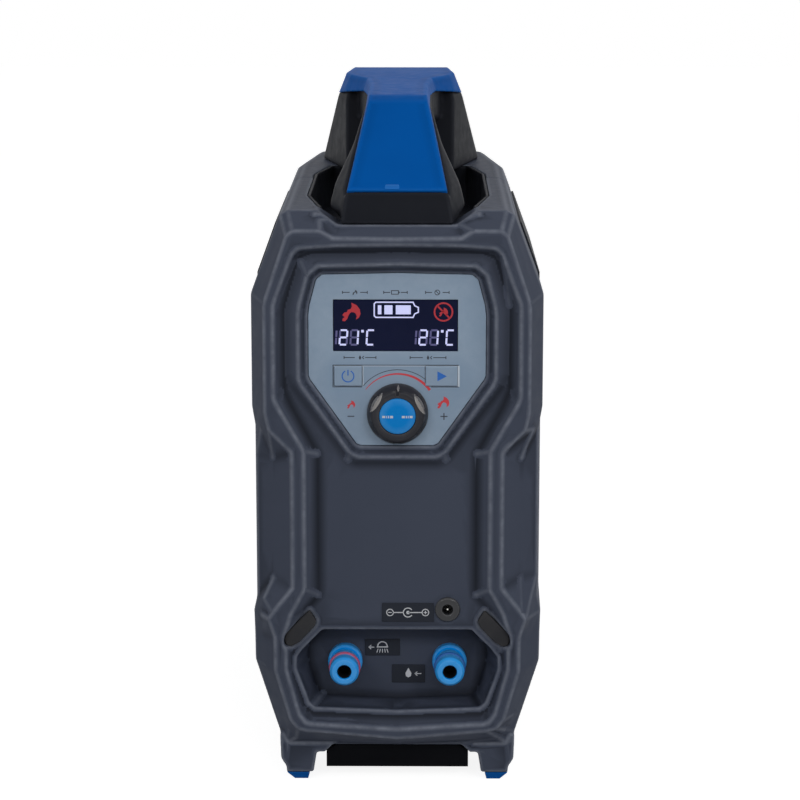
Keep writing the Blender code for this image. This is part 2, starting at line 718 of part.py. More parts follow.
def make_panel():
    back = PANEL_FACE + PANEL_THICK
    panel = solid("control_panel", "panel_grey", prism_y(panel_outline(), PANEL_FACE, back))
    for rect in (DISPLAY, (*POWER_X, *BUTTON_Z), (*START_X, *BUTTON_Z)):
        cut(panel, plate(rect, PANEL_FACE - 5, back + 5, CLEAR))
    cut(panel, rod(SHAFT_RADIUS + 1.3, KNOB_X, KNOB_Z, PANEL_FACE - 5, back + 5))
    solid("display_window", "dark_glass", plate(DISPLAY, PANEL_FACE + 0.2, back - 0.1))
    module = (DISPLAY[0] - 2, DISPLAY[1] + 2, DISPLAY[2] - 2.5, DISPLAY[3] + 2.5)
    front = back + CLEAR
    solid("display_module", "black_plastic", plate(module, front, front + MODULE_DEPTH))
    board = (DISPLAY[0] - 4, DISPLAY[1] + 4, DISPLAY[2] - 8, DISPLAY[3] + 6)
    board_front = front + MODULE_DEPTH + CLEAR
    solid("control_board", "circuit_green", plate(board, board_front, board_front + BOARD_THICK))
    for name, reach in (("power_button", POWER_X), ("start_button", START_X)):
        front = PANEL_FACE - BUTTON_PROUD
        x0, x1 = reach
        z0, z1 = BUTTON_Z
        crown = [(x0 + 0.6, z0 + 0.6), (x1 - 0.6, z0 + 0.6), (x1 - 0.6, z1 - 0.6), (x0 + 0.6, z1 - 0.6)]
        full = [(x0, z0), (x1, z0), (x1, z1), (x0, z1)]
        button = solid(name, "panel_grey", loft([at_y(crown, front), at_y(full, front + 0.5),
                                                 at_y(full, front + BUTTON_DEPTH)]))
        set_origin(button, (x0 + x1) / 2, front, (z0 + z1) / 2)


def make_knob():
    back = PANEL_FACE - KNOB_GAP
    front = back - KNOB_HEIGHT
    seat = front + CAP_SINK
    hole = SHAFT_RADIUS + CLEAR
    profile = [(hole, back), (KNOB_RADIUS, back), (KNOB_RADIUS, back - 2.2), (KNOB_RADIUS - 1.0, back - 5.4),
               (KNOB_RING + 1.6, front + 1.1), (KNOB_RING, front), (CAP_RADIUS + CLEAR, front),
               (CAP_RADIUS + CLEAR, seat), (0, seat), (0, seat + 1.8), (hole, seat + 1.8)]
    knob = solid("knob_body", "black_plastic", lathe(profile, KNOB_X, KNOB_Z, 48))
    for degrees in SCALLOP_ANGLES:
        turn = math.radians(degrees)
        lean = math.radians(SCALLOP_LEAN)
        reach = KNOB_RADIUS - SCALLOP_CUT + SCALLOP_RADIUS / math.cos(lean)
        cutter = bmesh.new()
        bmesh.ops.create_cone(cutter, cap_ends=True, segments=28, radius1=SCALLOP_RADIUS,
                              radius2=SCALLOP_RADIUS, depth=26)
        bmesh.ops.transform(cutter, matrix=Matrix.Rotation(-lean, 4, "Y"), verts=cutter.verts)
        bmesh.ops.translate(cutter, vec=(reach, 0, 0), verts=cutter.verts)
        bmesh.ops.transform(cutter, matrix=Matrix.Rotation(math.pi / 2, 4, "X"), verts=cutter.verts)
        bmesh.ops.transform(cutter, matrix=Matrix.Rotation(-turn, 4, "Y"), verts=cutter.verts)
        bmesh.ops.translate(cutter, vec=(KNOB_X, (front + back) / 2, KNOB_Z), verts=cutter.verts)
        cut(knob, cutter)
    cut(knob, box(KNOB_X - 0.9, KNOB_X + 0.9, front - 1, front + 0.9, KNOB_Z + CAP_RADIUS + 1.4,
                  KNOB_Z + KNOB_RADIUS - 1.6))
    smooth(knob, 28)
    cap_back = seat - CLEAR
    cap = solid("knob_cap", "blue_plastic",
                lathe([(0, cap_back), (CAP_RADIUS, cap_back), (CAP_RADIUS, front + 0.5),
                       (CAP_RADIUS - 1.2, front - 0.2), (CAP_RADIUS * 0.55, front - 0.5),
                       (0, front - 0.6)], KNOB_X, KNOB_Z, 36))
    smooth(cap)
    shaft = solid("knob_shaft", "steel",
                  rod(SHAFT_RADIUS, KNOB_X, KNOB_Z, seat + 1.8 + CLEAR, VALVE_FRONT - CLEAR, 16))
    smooth(shaft)
    for piece in (knob, cap, shaft):
        set_origin(piece, KNOB_X, back, KNOB_Z)


# Connectors, jack and plates

def make_connectors():
    start = RECESS_FLOOR - CLEAR
    groove = NOSE_RADIUS - 1.9
    ring_y = CONNECTOR_TIP + 11.5
    profile = [(0, start + 6), (0, STUB_END), (STUB_RADIUS, STUB_END), (STUB_RADIUS, start),
               (COLLAR_RADIUS, start), (COLLAR_RADIUS, start - 5.4), (COLLAR_RADIUS - 1, start - 6.4),
               (NOSE_RADIUS - 1, start - 6.4), (NOSE_RADIUS - 1, start - 9), (NOSE_RADIUS, start - 10),
               (NOSE_RADIUS, ring_y + 1.8), (groove, ring_y + 1.8), (groove, ring_y - 1.8),
               (NOSE_RADIUS, ring_y - 1.8), (NOSE_RADIUS, CONNECTOR_TIP + 2.2),
               (NOSE_RADIUS - 1.6, CONNECTOR_TIP), (BORE_RADIUS + 0.6, CONNECTOR_TIP),
               (BORE_RADIUS, CONNECTOR_TIP + 0.8), (BORE_RADIUS, start + 6)]
    for name, sign, ring_finish in (("outlet", -1, "red_rubber"), ("inlet", 1, "connector_blue")):
        x = sign * CONNECTOR_X
        body = solid(f"{name}_connector", "connector_blue", lathe(profile, x, CONNECTOR_Z, 28))
        smooth(body)
        middle = groove + 0.15 + RING_RADIUS
        circle = [(middle + RING_RADIUS * math.cos(a), ring_y + RING_RADIUS * math.sin(a))
                  for a in (2 * math.pi * k / 8 for k in range(8))]
        ring = solid(f"{name}_o_ring", ring_finish, lathe(circle, x, CONNECTOR_Z, 28))
        smooth(ring, 60)
        nut_front = RECESS_FLOOR + WALL + CLEAR
        bore = STUB_RADIUS + CLEAR
        nut = solid(f"{name}_lock_nut", "brass",
                    lathe([(bore, nut_front), (11, nut_front), (11, nut_front + 6), (bore, nut_front + 6)],
                          x, CONNECTOR_Z, 6))
        cut(nut, rod(bore, x, CONNECTOR_Z, nut_front - 3, nut_front + 9))


def make_jack():
    face = FACE_Y - THIN_GAP
    front = face - 1.8
    inner_end = front + JACK_DEPTH
    profile = [(0, inner_end - 2), (0, inner_end), (JACK_BODY, inner_end), (JACK_BODY, face),
               (JACK_RADIUS, face), (JACK_RADIUS, front + 0.8), (JACK_RADIUS - 1, front),
               (JACK_BORE + 0.7, front), (JACK_BORE, front + 0.7), (JACK_BORE, inner_end - 2)]
    housing = solid("jack_housing", "black_plastic", lathe(profile, JACK_X, JACK_Z, 28))
    smooth(housing)
    pin_end = inner_end - 2 - CLEAR
    pin = solid("jack_pin", "steel",
                lathe([(0, front + 1.6), (JACK_PIN * 0.5, front + 1.6), (JACK_PIN, front + 2.4),
                       (JACK_PIN, pin_end), (0, pin_end)], JACK_X, JACK_Z, 12))
    smooth(pin)
    solid("jack_label_plate", "label_film", plate(JACK_PLATE, face - PLATE_THICK, face))
    floor = RECESS_FLOOR - THIN_GAP
    solid("outlet_label_plate", "label_film", plate(OUTLET_PLATE, floor - PLATE_THICK, floor))
    solid("inlet_label_plate", "label_film", plate(INLET_PLATE, floor - PLATE_THICK, floor))


# Handle

def cover_stations():
    """Along the handle: y and z of the outer skin, half width at the top and at the skirt, skirt depth."""
    top = HANDLE_TOP
    return [(COVER_FRONT, COVER_LOW, 30.4, 31.2, 4.5), (-120.5, top - 4.2, 18.6, 20.4, 5.5),
            (-112, top - 0.9, 18.2, 20.2, 6.5), (-40, top, 18.6, 21.0, 7.5), (12, top, 21.5, 24.8, 9),
            (44, top, 33.5, 38.2, 12), (62, top, 37.0, 42.6, 14), (132, top - 1.5, 33.5, 39.5, 14),
            (154, top - 8, 28.5, 33.5, 9)]


def cover_loops(out_by, in_by):
    stations = cover_stations()
    loops = []
    for k, (y, z, high, low, skirt) in enumerate(stations):
        before, after = stations[max(k - 1, 0)], stations[min(k + 1, len(stations) - 1)]
        along = Vector((after[0] - before[0], after[1] - before[1])).normalized()
        up = Vector((-along.y, along.x))
        skin = COVER_SKIN

        def point(x, depth):
            place = Vector((y, z)) - up * depth
            return (x, place.x, place.y)

        loops.append([point(-low - out_by, skirt + in_by), point(-high - out_by, -out_by),
                      point(high + out_by, -out_by), point(low + out_by, skirt + in_by),
                      point(low - skin - in_by, skirt + in_by), point(high - skin - in_by, skin + in_by),
                      point(-high + skin + in_by, skin + in_by), point(-low + skin + in_by, skirt + in_by)])
    if out_by > 0:
        loops[0] = between(loops[0], loops[1], -0.006)
        loops[-1] = between(loops[-1], loops[-2], -0.3)
    return loops


def leg_section(z, front_half, front_y, side_half, side_y, back_half, back_y):
    half = [(front_half, front_y), (side_half, side_y), (side_half, side_y + 12), (back_half, back_y)]
    return at_z(half + [(-x, y) for x, y in reversed(half)], z)


def make_handle():
    seat = BODY_TOP - NOTCH_DEPTH + CLEAR
    top = HANDLE_TOP - 1
    knee = COVER_LOW + (top - COVER_LOW) * 0.44
    under = HANDLE_TOP - GRIP_DEPTH
    front = HANDLE_FRONT
    frame = solid("handle_frame", "black_plastic", loft([
        leg_section(seat, LEG_FOOT_HALF, front, NOTCH_HALF - 0.8, front + 29.4, LEG_FOOT_HALF, front + 89),
        leg_section(BODY_TOP - 0.5, LEG_FOOT_HALF - 1.2, front + 1, LEG_SIDE_HALF - 1.5, front + 31,
                    LEG_FOOT_HALF + 4, front + 88),
        leg_section(COVER_LOW, LEG_FOOT_HALF - 3.5, COVER_FRONT, LEG_SIDE_HALF - 5, front + 32,
                    LEG_FOOT_HALF - 1, front + 85),
        leg_section(knee, 25.2, -152, 27.5, -138, 24, -90),
        leg_section(top, 18.2, -119, 18.4, -112, 17, -80)]))
    join(frame, box(-ROOT_HALF, ROOT_HALF, -146, -96, BODY_TOP - WELL_DEPTH + CLEAR, seat + 6))

    def bar_section(y, half, low):
        return [(-half, y, top), (half, y, top), (half, y, low + 5), (half - 5, y, low),
                (5 - half, y, low), (-half, y, low + 5)]

    join(frame, loft([bar_section(-100, 19.5, under - 4), bar_section(-60, 20, under),
                      bar_section(0, 21.5, under), bar_section(46, 28, under - 6)]))

    def block_section(z, front_half, front_y, side_half, side_y, back_half, back_y):
        half = [(front_half, front_y), (side_half, side_y), (side_half - 1, side_y + 30), (back_half, back_y)]
        return at_z(half + [(-x, y) for x, y in reversed(half)], z)

    back = HANDLE_BACK
    join(frame, loft([block_section(BODY_TOP + CLEAR, 36.7, 37, BLOCK_HALF, 117, BLOCK_HALF - 9.5, back),
                      block_section(HANDLE_TOP - BLOCK_EDGE, 37.0, 46, BLOCK_HALF - 12, 72, 36, back - 10),
                      block_section(top, 33.0, 48, BLOCK_HALF - 17, 68, 30, back - 18)]))
    cut(frame, loft(cover_loops(6.0, CLEAR)))
    smooth(frame, 20)
    cover = solid("handle_cover", "blue_plastic", loft(cover_loops(0.0, 0.0)))
    smooth(cover, 20)


# Rear pieces

def make_rear_pieces():
    back = REAR_Y - REAR_SINK
    grille = solid("exhaust_grille", "black_plastic", plate(GRILLE, back - GRILLE_THICK + 1, back + 1))
    x0, x1, z0, z1 = GRILLE
    pitch = (z1 - z0) / GRILLE_SLOTS
    for k in range(GRILLE_SLOTS):
        low = z0 + pitch * (k + 0.5) - GRILLE_SLOT / 2
        cut(grille, box(x0 + 4, x1 - 4, back - 12, back + 8, low, low + GRILLE_SLOT))
    solid("service_cover", "charcoal_plastic", plate(COVER, back - COVER_THICK + 0.8, back + 0.8))
    floor = GAS_RECESS_FLOOR + CLEAR
    fitting = solid("gas_inlet_fitting", "brass",
                    lathe([(0, GAS_RECESS_FLOOR - 16), (GAS_RADIUS, GAS_RECESS_FLOOR - 16),
                           (GAS_RADIUS, floor), (10.5, floor), (10.5, floor + 6), (7.5, floor + 6.4),
                           (7.5, floor + 15), (6.6, floor + 16.5), (3, floor + 16.5), (3, floor + 10),
                           (0, floor + 10)], 0, GAS_Z, 24))
    smooth(fitting)


# Inside

def make_chassis():
    floor = BODY_BOTTOM + WALL + CLEAR
    chassis = solid("chassis", "steel", box(-CHASSIS_HALF, CHASSIS_HALF, -140, 140, floor, floor + SHEET))
    join(chassis, box(-BULKHEAD_HALF, BULKHEAD_HALF, BULKHEAD_Y, BULKHEAD_Y + SHEET,
                      floor + SHEET / 2, BULKHEAD_TOP))
    for sign in (-1, 1):
        x0, x1 = sorted((sign * (CHAMBER_HALF_X + CLEAR), sign * (CHAMBER_HALF_X + CLEAR + SHEET)))
        join(chassis, box(x0, x1, -20, 20, floor + SHEET / 2, CHAMBER_TOP))
    cut(chassis, rod(GAS_PIPE_RADIUS + 1.5, 0, 40, BULKHEAD_Y - 5, BULKHEAD_Y + 8))
    cut(chassis, rod(GAS_PIPE_RADIUS + 1.5, 0, KNOB_Z, BULKHEAD_Y - 5, BULKHEAD_Y + 8))
    cut(chassis, box(-24, 24, -80, 80, floor - 5, floor + 8))


def make_burning():
    x, y = CHAMBER_HALF_X, CHAMBER_HALF_Y
    chamber = solid("combustion_chamber", "steel", box(-x, x, -y, y, CHAMBER_LOW, CHAMBER_TOP))
    cut(chamber, box(SHEET - x, x - SHEET, SHEET - y, y - SHEET, CHAMBER_LOW - 5, CHAMBER_TOP + 5))
    cut(chamber, rod(GAS_PIPE_RADIUS + 1, 0, MANIFOLD_Z, -y - 5, 5 - y))
    for sign in (-1, 1):
        cut(chamber, rod(2.2, sign * ROD_X, ROD_Z, -y - 5, 5 - y, 12))
    inner = x - SHEET - CLEAR
    burner = solid("burner", "steel",
                   box(-inner, inner, -BURNER_HALF_Y, BURNER_HALF_Y, BURNER_LOW, BURNER_TOP))
    pitch = 2 * inner / BURNER_SLOTS
    for k in range(BURNER_SLOTS):
        left = -inner + pitch * (k + 0.5) - 2
        cut(burner, box(left, left + 4, 4 - BURNER_HALF_Y, BURNER_HALF_Y - 4,
                        BURNER_TOP - 12, BURNER_TOP + 4))
    low = CHAMBER_TOP + CLEAR
    high = low + EXCHANGER_HEIGHT
    exchanger = solid("heat_exchanger", "copper", box(-x, x, -y, y, low, high))
    pitch = (2 * x - 12) / FIN_SLOTS
    for k in range(FIN_SLOTS):
        left = 6 - x + pitch * (k + 0.5) - FIN_GAP / 2
        cut(exchanger, box(left, left + FIN_GAP, 4 - y, y - 4, low - 4, high + 4))
    base = high + CLEAR

    def ring(shrink, points):
        return [(px - math.copysign(shrink, px), py + dy * shrink, pz + dz * shrink)
                for px, py, pz, dy, dz in points]

    def hood_rings(shrink):
        end = REAR_Y - REAR_SINK - GRILLE_THICK + 1 - CLEAR
        stretch = 4 if shrink else 0
        return [ring(shrink, [(-x, -y, base - stretch, 1, 0), (x, -y, base - stretch, 1, 0),
                              (x, y, base - stretch, -1, 0), (-x, y, base - stretch, -1, 0)]),
                ring(shrink, [(-x, -y, base + 12, 1, 0), (x, -y, base + 12, 1, 0),
                              (x, y + 4, base + 3, -1, 0.5), (-x, y + 4, base + 3, -1, 0.5)]),
                ring(shrink, [(-46, 30, HOOD_TOP, 0, -1), (46, 30, HOOD_TOP, 0, -1),
                              (46, y + 20, base + 6, 0, 1), (-46, y + 20, base + 6, 0, 1)]),
                ring(shrink, [(-42, end + stretch, HOOD_TOP, 0, -1), (42, end + stretch, HOOD_TOP, 0, -1),
                              (42, end + stretch, base + 6, 0, 1), (-42, end + stretch, base + 6, 0, 1)])]

    hood = solid("flue_hood", "steel", loft(hood_rings(0)))
    cut(hood, loft(hood_rings(SHEET)))
    for name, sign in (("igniter", 1), ("flame_sensor", -1)):
        wall = -y - CLEAR
        profile = [(0, wall - 16), (3.4, wall - 16), (3.4, wall - 2), (5.5, wall - 2), (5.5, wall),
                   (1.6, wall), (1.6, wall + 14), (0, wall + 14)]
        smooth(solid(name, "ceramic", lathe(profile, sign * ROD_X, ROD_Z, 12)))


def make_supplies():
    valve_back = BULKHEAD_Y - CLEAR
    solid("gas_valve", "brass", plate(VALVE, VALVE_FRONT, valve_back))
    solid("battery_pack", "connector_blue", plate(BATTERY, BATTERY_FRONT, valve_back))
    riser = -136
    gas = [(0, GAS_RECESS_FLOOR - 16 - CLEAR, GAS_Z), (0, GAS_RECESS_FLOOR - 26, GAS_Z), (0, 115, 50),
           (0, 70, 41), (0, 0, 40), (0, -70, 40), (0, -112, 40), (0, -129, 48), (0, riser, 70),
           (0, riser, 140), (0, riser, VALVE[2] - CLEAR)]
    smooth(solid("gas_pipe", "copper", pipe(gas, GAS_PIPE_RADIUS)), 60)
    manifold = [(0, BULKHEAD_Y + 0.2, KNOB_Z), (0, -104, KNOB_Z), (0, -90, KNOB_Z - 5),
                (0, MANIFOLD_Y, KNOB_Z - 20), (0, MANIFOLD_Y, 160), (0, MANIFOLD_Y, 100),
                (0, -70, MANIFOLD_Z + 4), (0, -52, MANIFOLD_Z), (0, -BURNER_HALF_Y - CLEAR, MANIFOLD_Z)]
    smooth(solid("gas_manifold", "copper", pipe(manifold, GAS_PIPE_RADIUS)), 60)
    start = STUB_END + CLEAR
    level = CHAMBER_TOP + EXCHANGER_HEIGHT * 0.6
    end = CHAMBER_HALF_X + CLEAR
    out = [(-CONNECTOR_X, start, CONNECTOR_Z), (-CONNECTOR_X, start + 8, CONNECTOR_Z), (-44, -128, 77),
           (-61, -116, 84), (-71, -98, 100), (-71, -50, 150), (-71, -6, 225), (-67, 0, level - 1),
           (-end - 4, 0, level), (-end, 0, level)]
    smooth(solid("water_out_pipe", "copper", pipe(out, WATER_PIPE_RADIUS)), 60)
    sensor_end = start + SENSOR_LENGTH
    sensor = solid("flow_sensor", "black_plastic",
                   rod(SENSOR_RADIUS, CONNECTOR_X, CONNECTOR_Z, start, sensor_end, 16))
    smooth(sensor)
    start = sensor_end + CLEAR
    inn = [(CONNECTOR_X, start, CONNECTOR_Z), (CONNECTOR_X, start + 6, CONNECTOR_Z), (45, -124, 77),
           (61, -116, 84), (71, -98, 100), (71, -50, 150), (71, -6, 225), (67, 0, level - 1),
           (end + 4, 0, level), (end, 0, level)]
    smooth(solid("water_in_pipe", "copper", pipe(inn, WATER_PIPE_RADIUS)), 60)


def main():
    clear_scene()
    make_front_casing()
    make_rear_casing()
    make_side_panels()
    make_well()
    make_base()
    make_feet()
    make_plugs()
    make_panel()
    make_knob()
    make_connectors()
    make_jack()
    make_handle()
    make_rear_pieces()
    make_chassis()
    make_burning()
    make_supplies()


main()
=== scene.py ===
# Camping gas water heater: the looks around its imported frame.
# Lengths in the dictionaries are millimetres, and the meshes are in metres.

import json
import math

import bmesh
import bpy
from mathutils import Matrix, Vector
from mathutils.bvhtree import BVHTree
from mathutils.kdtree import KDTree

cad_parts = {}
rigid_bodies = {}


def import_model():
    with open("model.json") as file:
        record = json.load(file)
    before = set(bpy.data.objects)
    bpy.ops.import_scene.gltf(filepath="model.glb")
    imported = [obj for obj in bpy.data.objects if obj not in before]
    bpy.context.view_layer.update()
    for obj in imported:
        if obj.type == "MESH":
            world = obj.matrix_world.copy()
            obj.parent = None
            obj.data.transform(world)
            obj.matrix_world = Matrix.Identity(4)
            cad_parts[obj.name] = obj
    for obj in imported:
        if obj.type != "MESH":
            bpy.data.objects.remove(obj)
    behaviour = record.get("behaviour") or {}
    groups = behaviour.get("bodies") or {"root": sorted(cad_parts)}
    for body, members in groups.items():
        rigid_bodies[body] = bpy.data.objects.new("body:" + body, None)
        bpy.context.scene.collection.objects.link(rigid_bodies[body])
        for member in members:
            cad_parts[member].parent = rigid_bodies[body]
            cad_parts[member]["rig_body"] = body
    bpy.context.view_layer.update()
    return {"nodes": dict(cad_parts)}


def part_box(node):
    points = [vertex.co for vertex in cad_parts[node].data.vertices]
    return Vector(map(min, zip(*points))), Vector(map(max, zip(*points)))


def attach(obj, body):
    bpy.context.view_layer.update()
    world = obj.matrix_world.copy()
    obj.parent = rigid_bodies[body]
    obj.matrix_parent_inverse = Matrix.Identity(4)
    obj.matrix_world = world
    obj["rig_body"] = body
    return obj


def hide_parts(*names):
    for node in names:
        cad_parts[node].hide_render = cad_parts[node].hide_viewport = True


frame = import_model()
nodes = frame["nodes"]
mm = 0.001
print("frame loaded:", len(nodes), "nodes")


# Small tools

def linear(hexColour):
    # an sRGB hex colour as linear values
    parts = [int(hexColour[k:k + 2], 16) / 255 for k in (1, 3, 5)]
    return tuple(p / 12.92 if p <= 0.04045 else ((p + 0.055) / 1.055) ** 2.4 for p in parts) + (1.0,)


def addNode(tree, kind, settings=None, sockets=None):
    made = tree.nodes.new(kind)
    for name, value in (settings or {}).items():
        setattr(made, name, value)
    for key, value in (sockets or {}).items():
        if isinstance(value, bpy.types.NodeSocket):
            tree.links.new(value, made.inputs[key])
        else:
            made.inputs[key].default_value = value
    return made


def maths(tree, operation, one, two):
    return addNode(tree, "ShaderNodeMath", {"operation": operation}, {0: one, 1: two}).outputs[0]


def newObject(name, data):
    made = bpy.data.objects.new(name, data)
    bpy.context.scene.collection.objects.link(made)
    return made


def settle(piece):
    # turns live modifiers into a plain mesh
    bpy.context.view_layer.update()
    graph = bpy.context.evaluated_depsgraph_get()
    mesh = bpy.data.meshes.new_from_object(piece.evaluated_get(graph))
    piece.modifiers.clear()
    piece.data = mesh
    return piece


def worked(piece, kind, **settings):
    # one modifier with its settings, turned into plain mesh at once
    modifier = piece.modifiers.new("work", kind)
    for name, value in settings.items():
        setattr(modifier, name, value)
    return settle(piece)


def bodyOf(nodeName):
    return nodes[nodeName]["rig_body"]


def frontOf(nodeName):
    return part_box(nodeName)[0].y / mm


def place(piece, body, slotName, *nodeNames):
    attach(piece, body)
    if nodeNames:
        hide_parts(*nodeNames)
    return piece


# Materials

def newMaterial(name):
    material = bpy.data.materials.new(name)
    material.use_nodes = True
    tree = material.node_tree
    tree.nodes.clear()
    output = addNode(tree, "ShaderNodeOutputMaterial")
    shader = addNode(tree, "ShaderNodeBsdfPrincipled")
    tree.links.new(shader.outputs[0], output.inputs["Surface"])
    return material, tree, shader


def objectCoords(tree):
    return addNode(tree, "ShaderNodeTexCoord").outputs["Object"]


def noiseAt(tree, coords, sizeMm, detail=2.0, rough=0.5):
    noise = addNode(tree, "ShaderNodeTexNoise", None, {
        "Vector": coords, "Scale": 1000.0 / sizeMm, "Detail": detail, "Roughness": rough})
    return noise.outputs["Fac"]


def ranged(tree, value, low, high, least, most):
    made = addNode(tree, "ShaderNodeMapRange", None, {
        "Value": value, "From Min": low, "From Max": high, "To Min": least, "To Max": most})
    return made.outputs["Result"]


def blended(tree, share, first, second):
    made = addNode(tree, "ShaderNodeMix", {"data_type": "RGBA"}, {0: share, 6: first, 7: second})
    return made.outputs[2]


def drifting(tree, noise, look):
    # the body colour, drifting slowly to its second tone
    share = ranged(tree, noise, 0.35, 0.65, 0.0, 1.0)
    return blended(tree, share, linear(look["colour"]), linear(look["drift"]))


def finished(tree, shader, colour, gloss, rough, vary, grain, strength, depth):
    # colour, uneven gloss and relief, which every solid material has
    tree.links.new(colour, shader.inputs["Base Color"])
    uneven = ranged(tree, gloss, 0.3, 0.7, rough - vary, rough + vary)
    tree.links.new(uneven, shader.inputs["Roughness"])
    bump = addNode(tree, "ShaderNodeBump", None, {
        "Height": grain, "Strength": strength, "Distance": depth * mm})
    tree.links.new(bump.outputs["Normal"], shader.inputs["Normal"])


def moulded(name, look):
    # body colour with slow drift, paler edges that are partly scuffing and partly painted highlight,
    # painted shade in hollows and a fine grain
    material, tree, shader = newMaterial(name)
    coords = objectCoords(tree)
    body = drifting(tree, noiseAt(tree, coords, look.get("driftSize", 60.0), 3.0), look)
    patches = noiseAt(tree, coords, 7.0, 4.0, 0.6)
    edge = addNode(tree, "ShaderNodeAttribute", {"attribute_name": "edge"}).outputs["Fac"]
    # paler edges: partly scuffing, partly painted highlight along the ridges
    rubAndHighlight = ranged(tree, edge, 0.15, 1.0, 0.0, look.get("wearAndHighlight", 0.5))
    rubbedAndLit = blended(tree, maths(tree, "MULTIPLY", rubAndHighlight, patches), body, linear(look["wornAndLit"]))
    # painted shade: the deep colour darkens corners and creases, where shade falls
    hollow = ranged(tree, edge, -0.1, -1.0, 0.0, look.get("shadeInHollows", 0.25))
    colour = blended(tree, hollow, rubbedAndLit, linear(look.get("deep", "#101114")))
    grain = noiseAt(tree, coords, look.get("grain", 0.9), 2.0, 0.6)
    finished(tree, shader, colour, patches, look["rough"], look.get("vary", 0.06), grain,
             look.get("bump", 0.25), look.get("depth", 0.12))
    shader.inputs["IOR"].default_value = 1.5
    shader.inputs["Specular IOR Level"].default_value = look.get("specular", 0.5)
    shader.inputs["Coat Weight"].default_value = look.get("coat", 0.0)
    shader.inputs["Coat Roughness"].default_value = look.get("coatRough", 0.1)
    return material


def metal(name, look):
    # drawn or turned metal: fine lines across one axis, slow tint and a slightly uneven gloss
    material, tree, shader = newMaterial(name)
    coords = objectCoords(tree)
    lines = addNode(tree, "ShaderNodeMapping", None, {
        "Vector": coords, "Scale": look.get("stretch", (1, 1, 0.05))})
    fine = noiseAt(tree, lines.outputs["Vector"], 0.5, 3.0, 0.6)
    colour = drifting(tree, noiseAt(tree, coords, 18.0, 3.0), look)
    finished(tree, shader, colour, fine, look["rough"], 0.07, fine, 0.15, 0.05)
    shader.inputs["Metallic"].default_value = 1.0
    return material


def printed(name, look):
    # screen ink: a slightly uneven flat coat, or a lit segment where it glows
    material, tree, shader = newMaterial(name)
    spread = noiseAt(tree, objectCoords(tree), 0.7)
    body = blended(tree, spread, linear(look["colour"]), linear(look["drift"]))
    tree.links.new(body, shader.inputs["Base Color"])
    shader.inputs["Roughness"].default_value = 0.45
    if "glow" in look:
        tree.links.new(body, shader.inputs["Emission Color"])
        shader.inputs["Emission Strength"].default_value = look["glow"]
    return material


def circuitBoard(name, look):
    # solder mask over copper tracks: green with faint straight tracks and tinned pads
    material, tree, shader = newMaterial(name)
    flat = addNode(tree, "ShaderNodeMapping", None, {
        "Vector": objectCoords(tree), "Rotation": (math.radians(90), 0, 0)})
    tracks = addNode(tree, "ShaderNodeTexBrick", {"offset": 0.35, "squash": 0.7}, {
        "Vector": flat.outputs[0], "Color1": linear(look["colour"]), "Color2": linear(look["drift"]),
        "Mortar": linear(look["track"]), "Scale": 120.0, "Mortar Size": 0.02})
    tree.links.new(tracks.outputs["Color"], shader.inputs["Base Color"])
    shader.inputs["Roughness"].default_value = 0.4
    return material


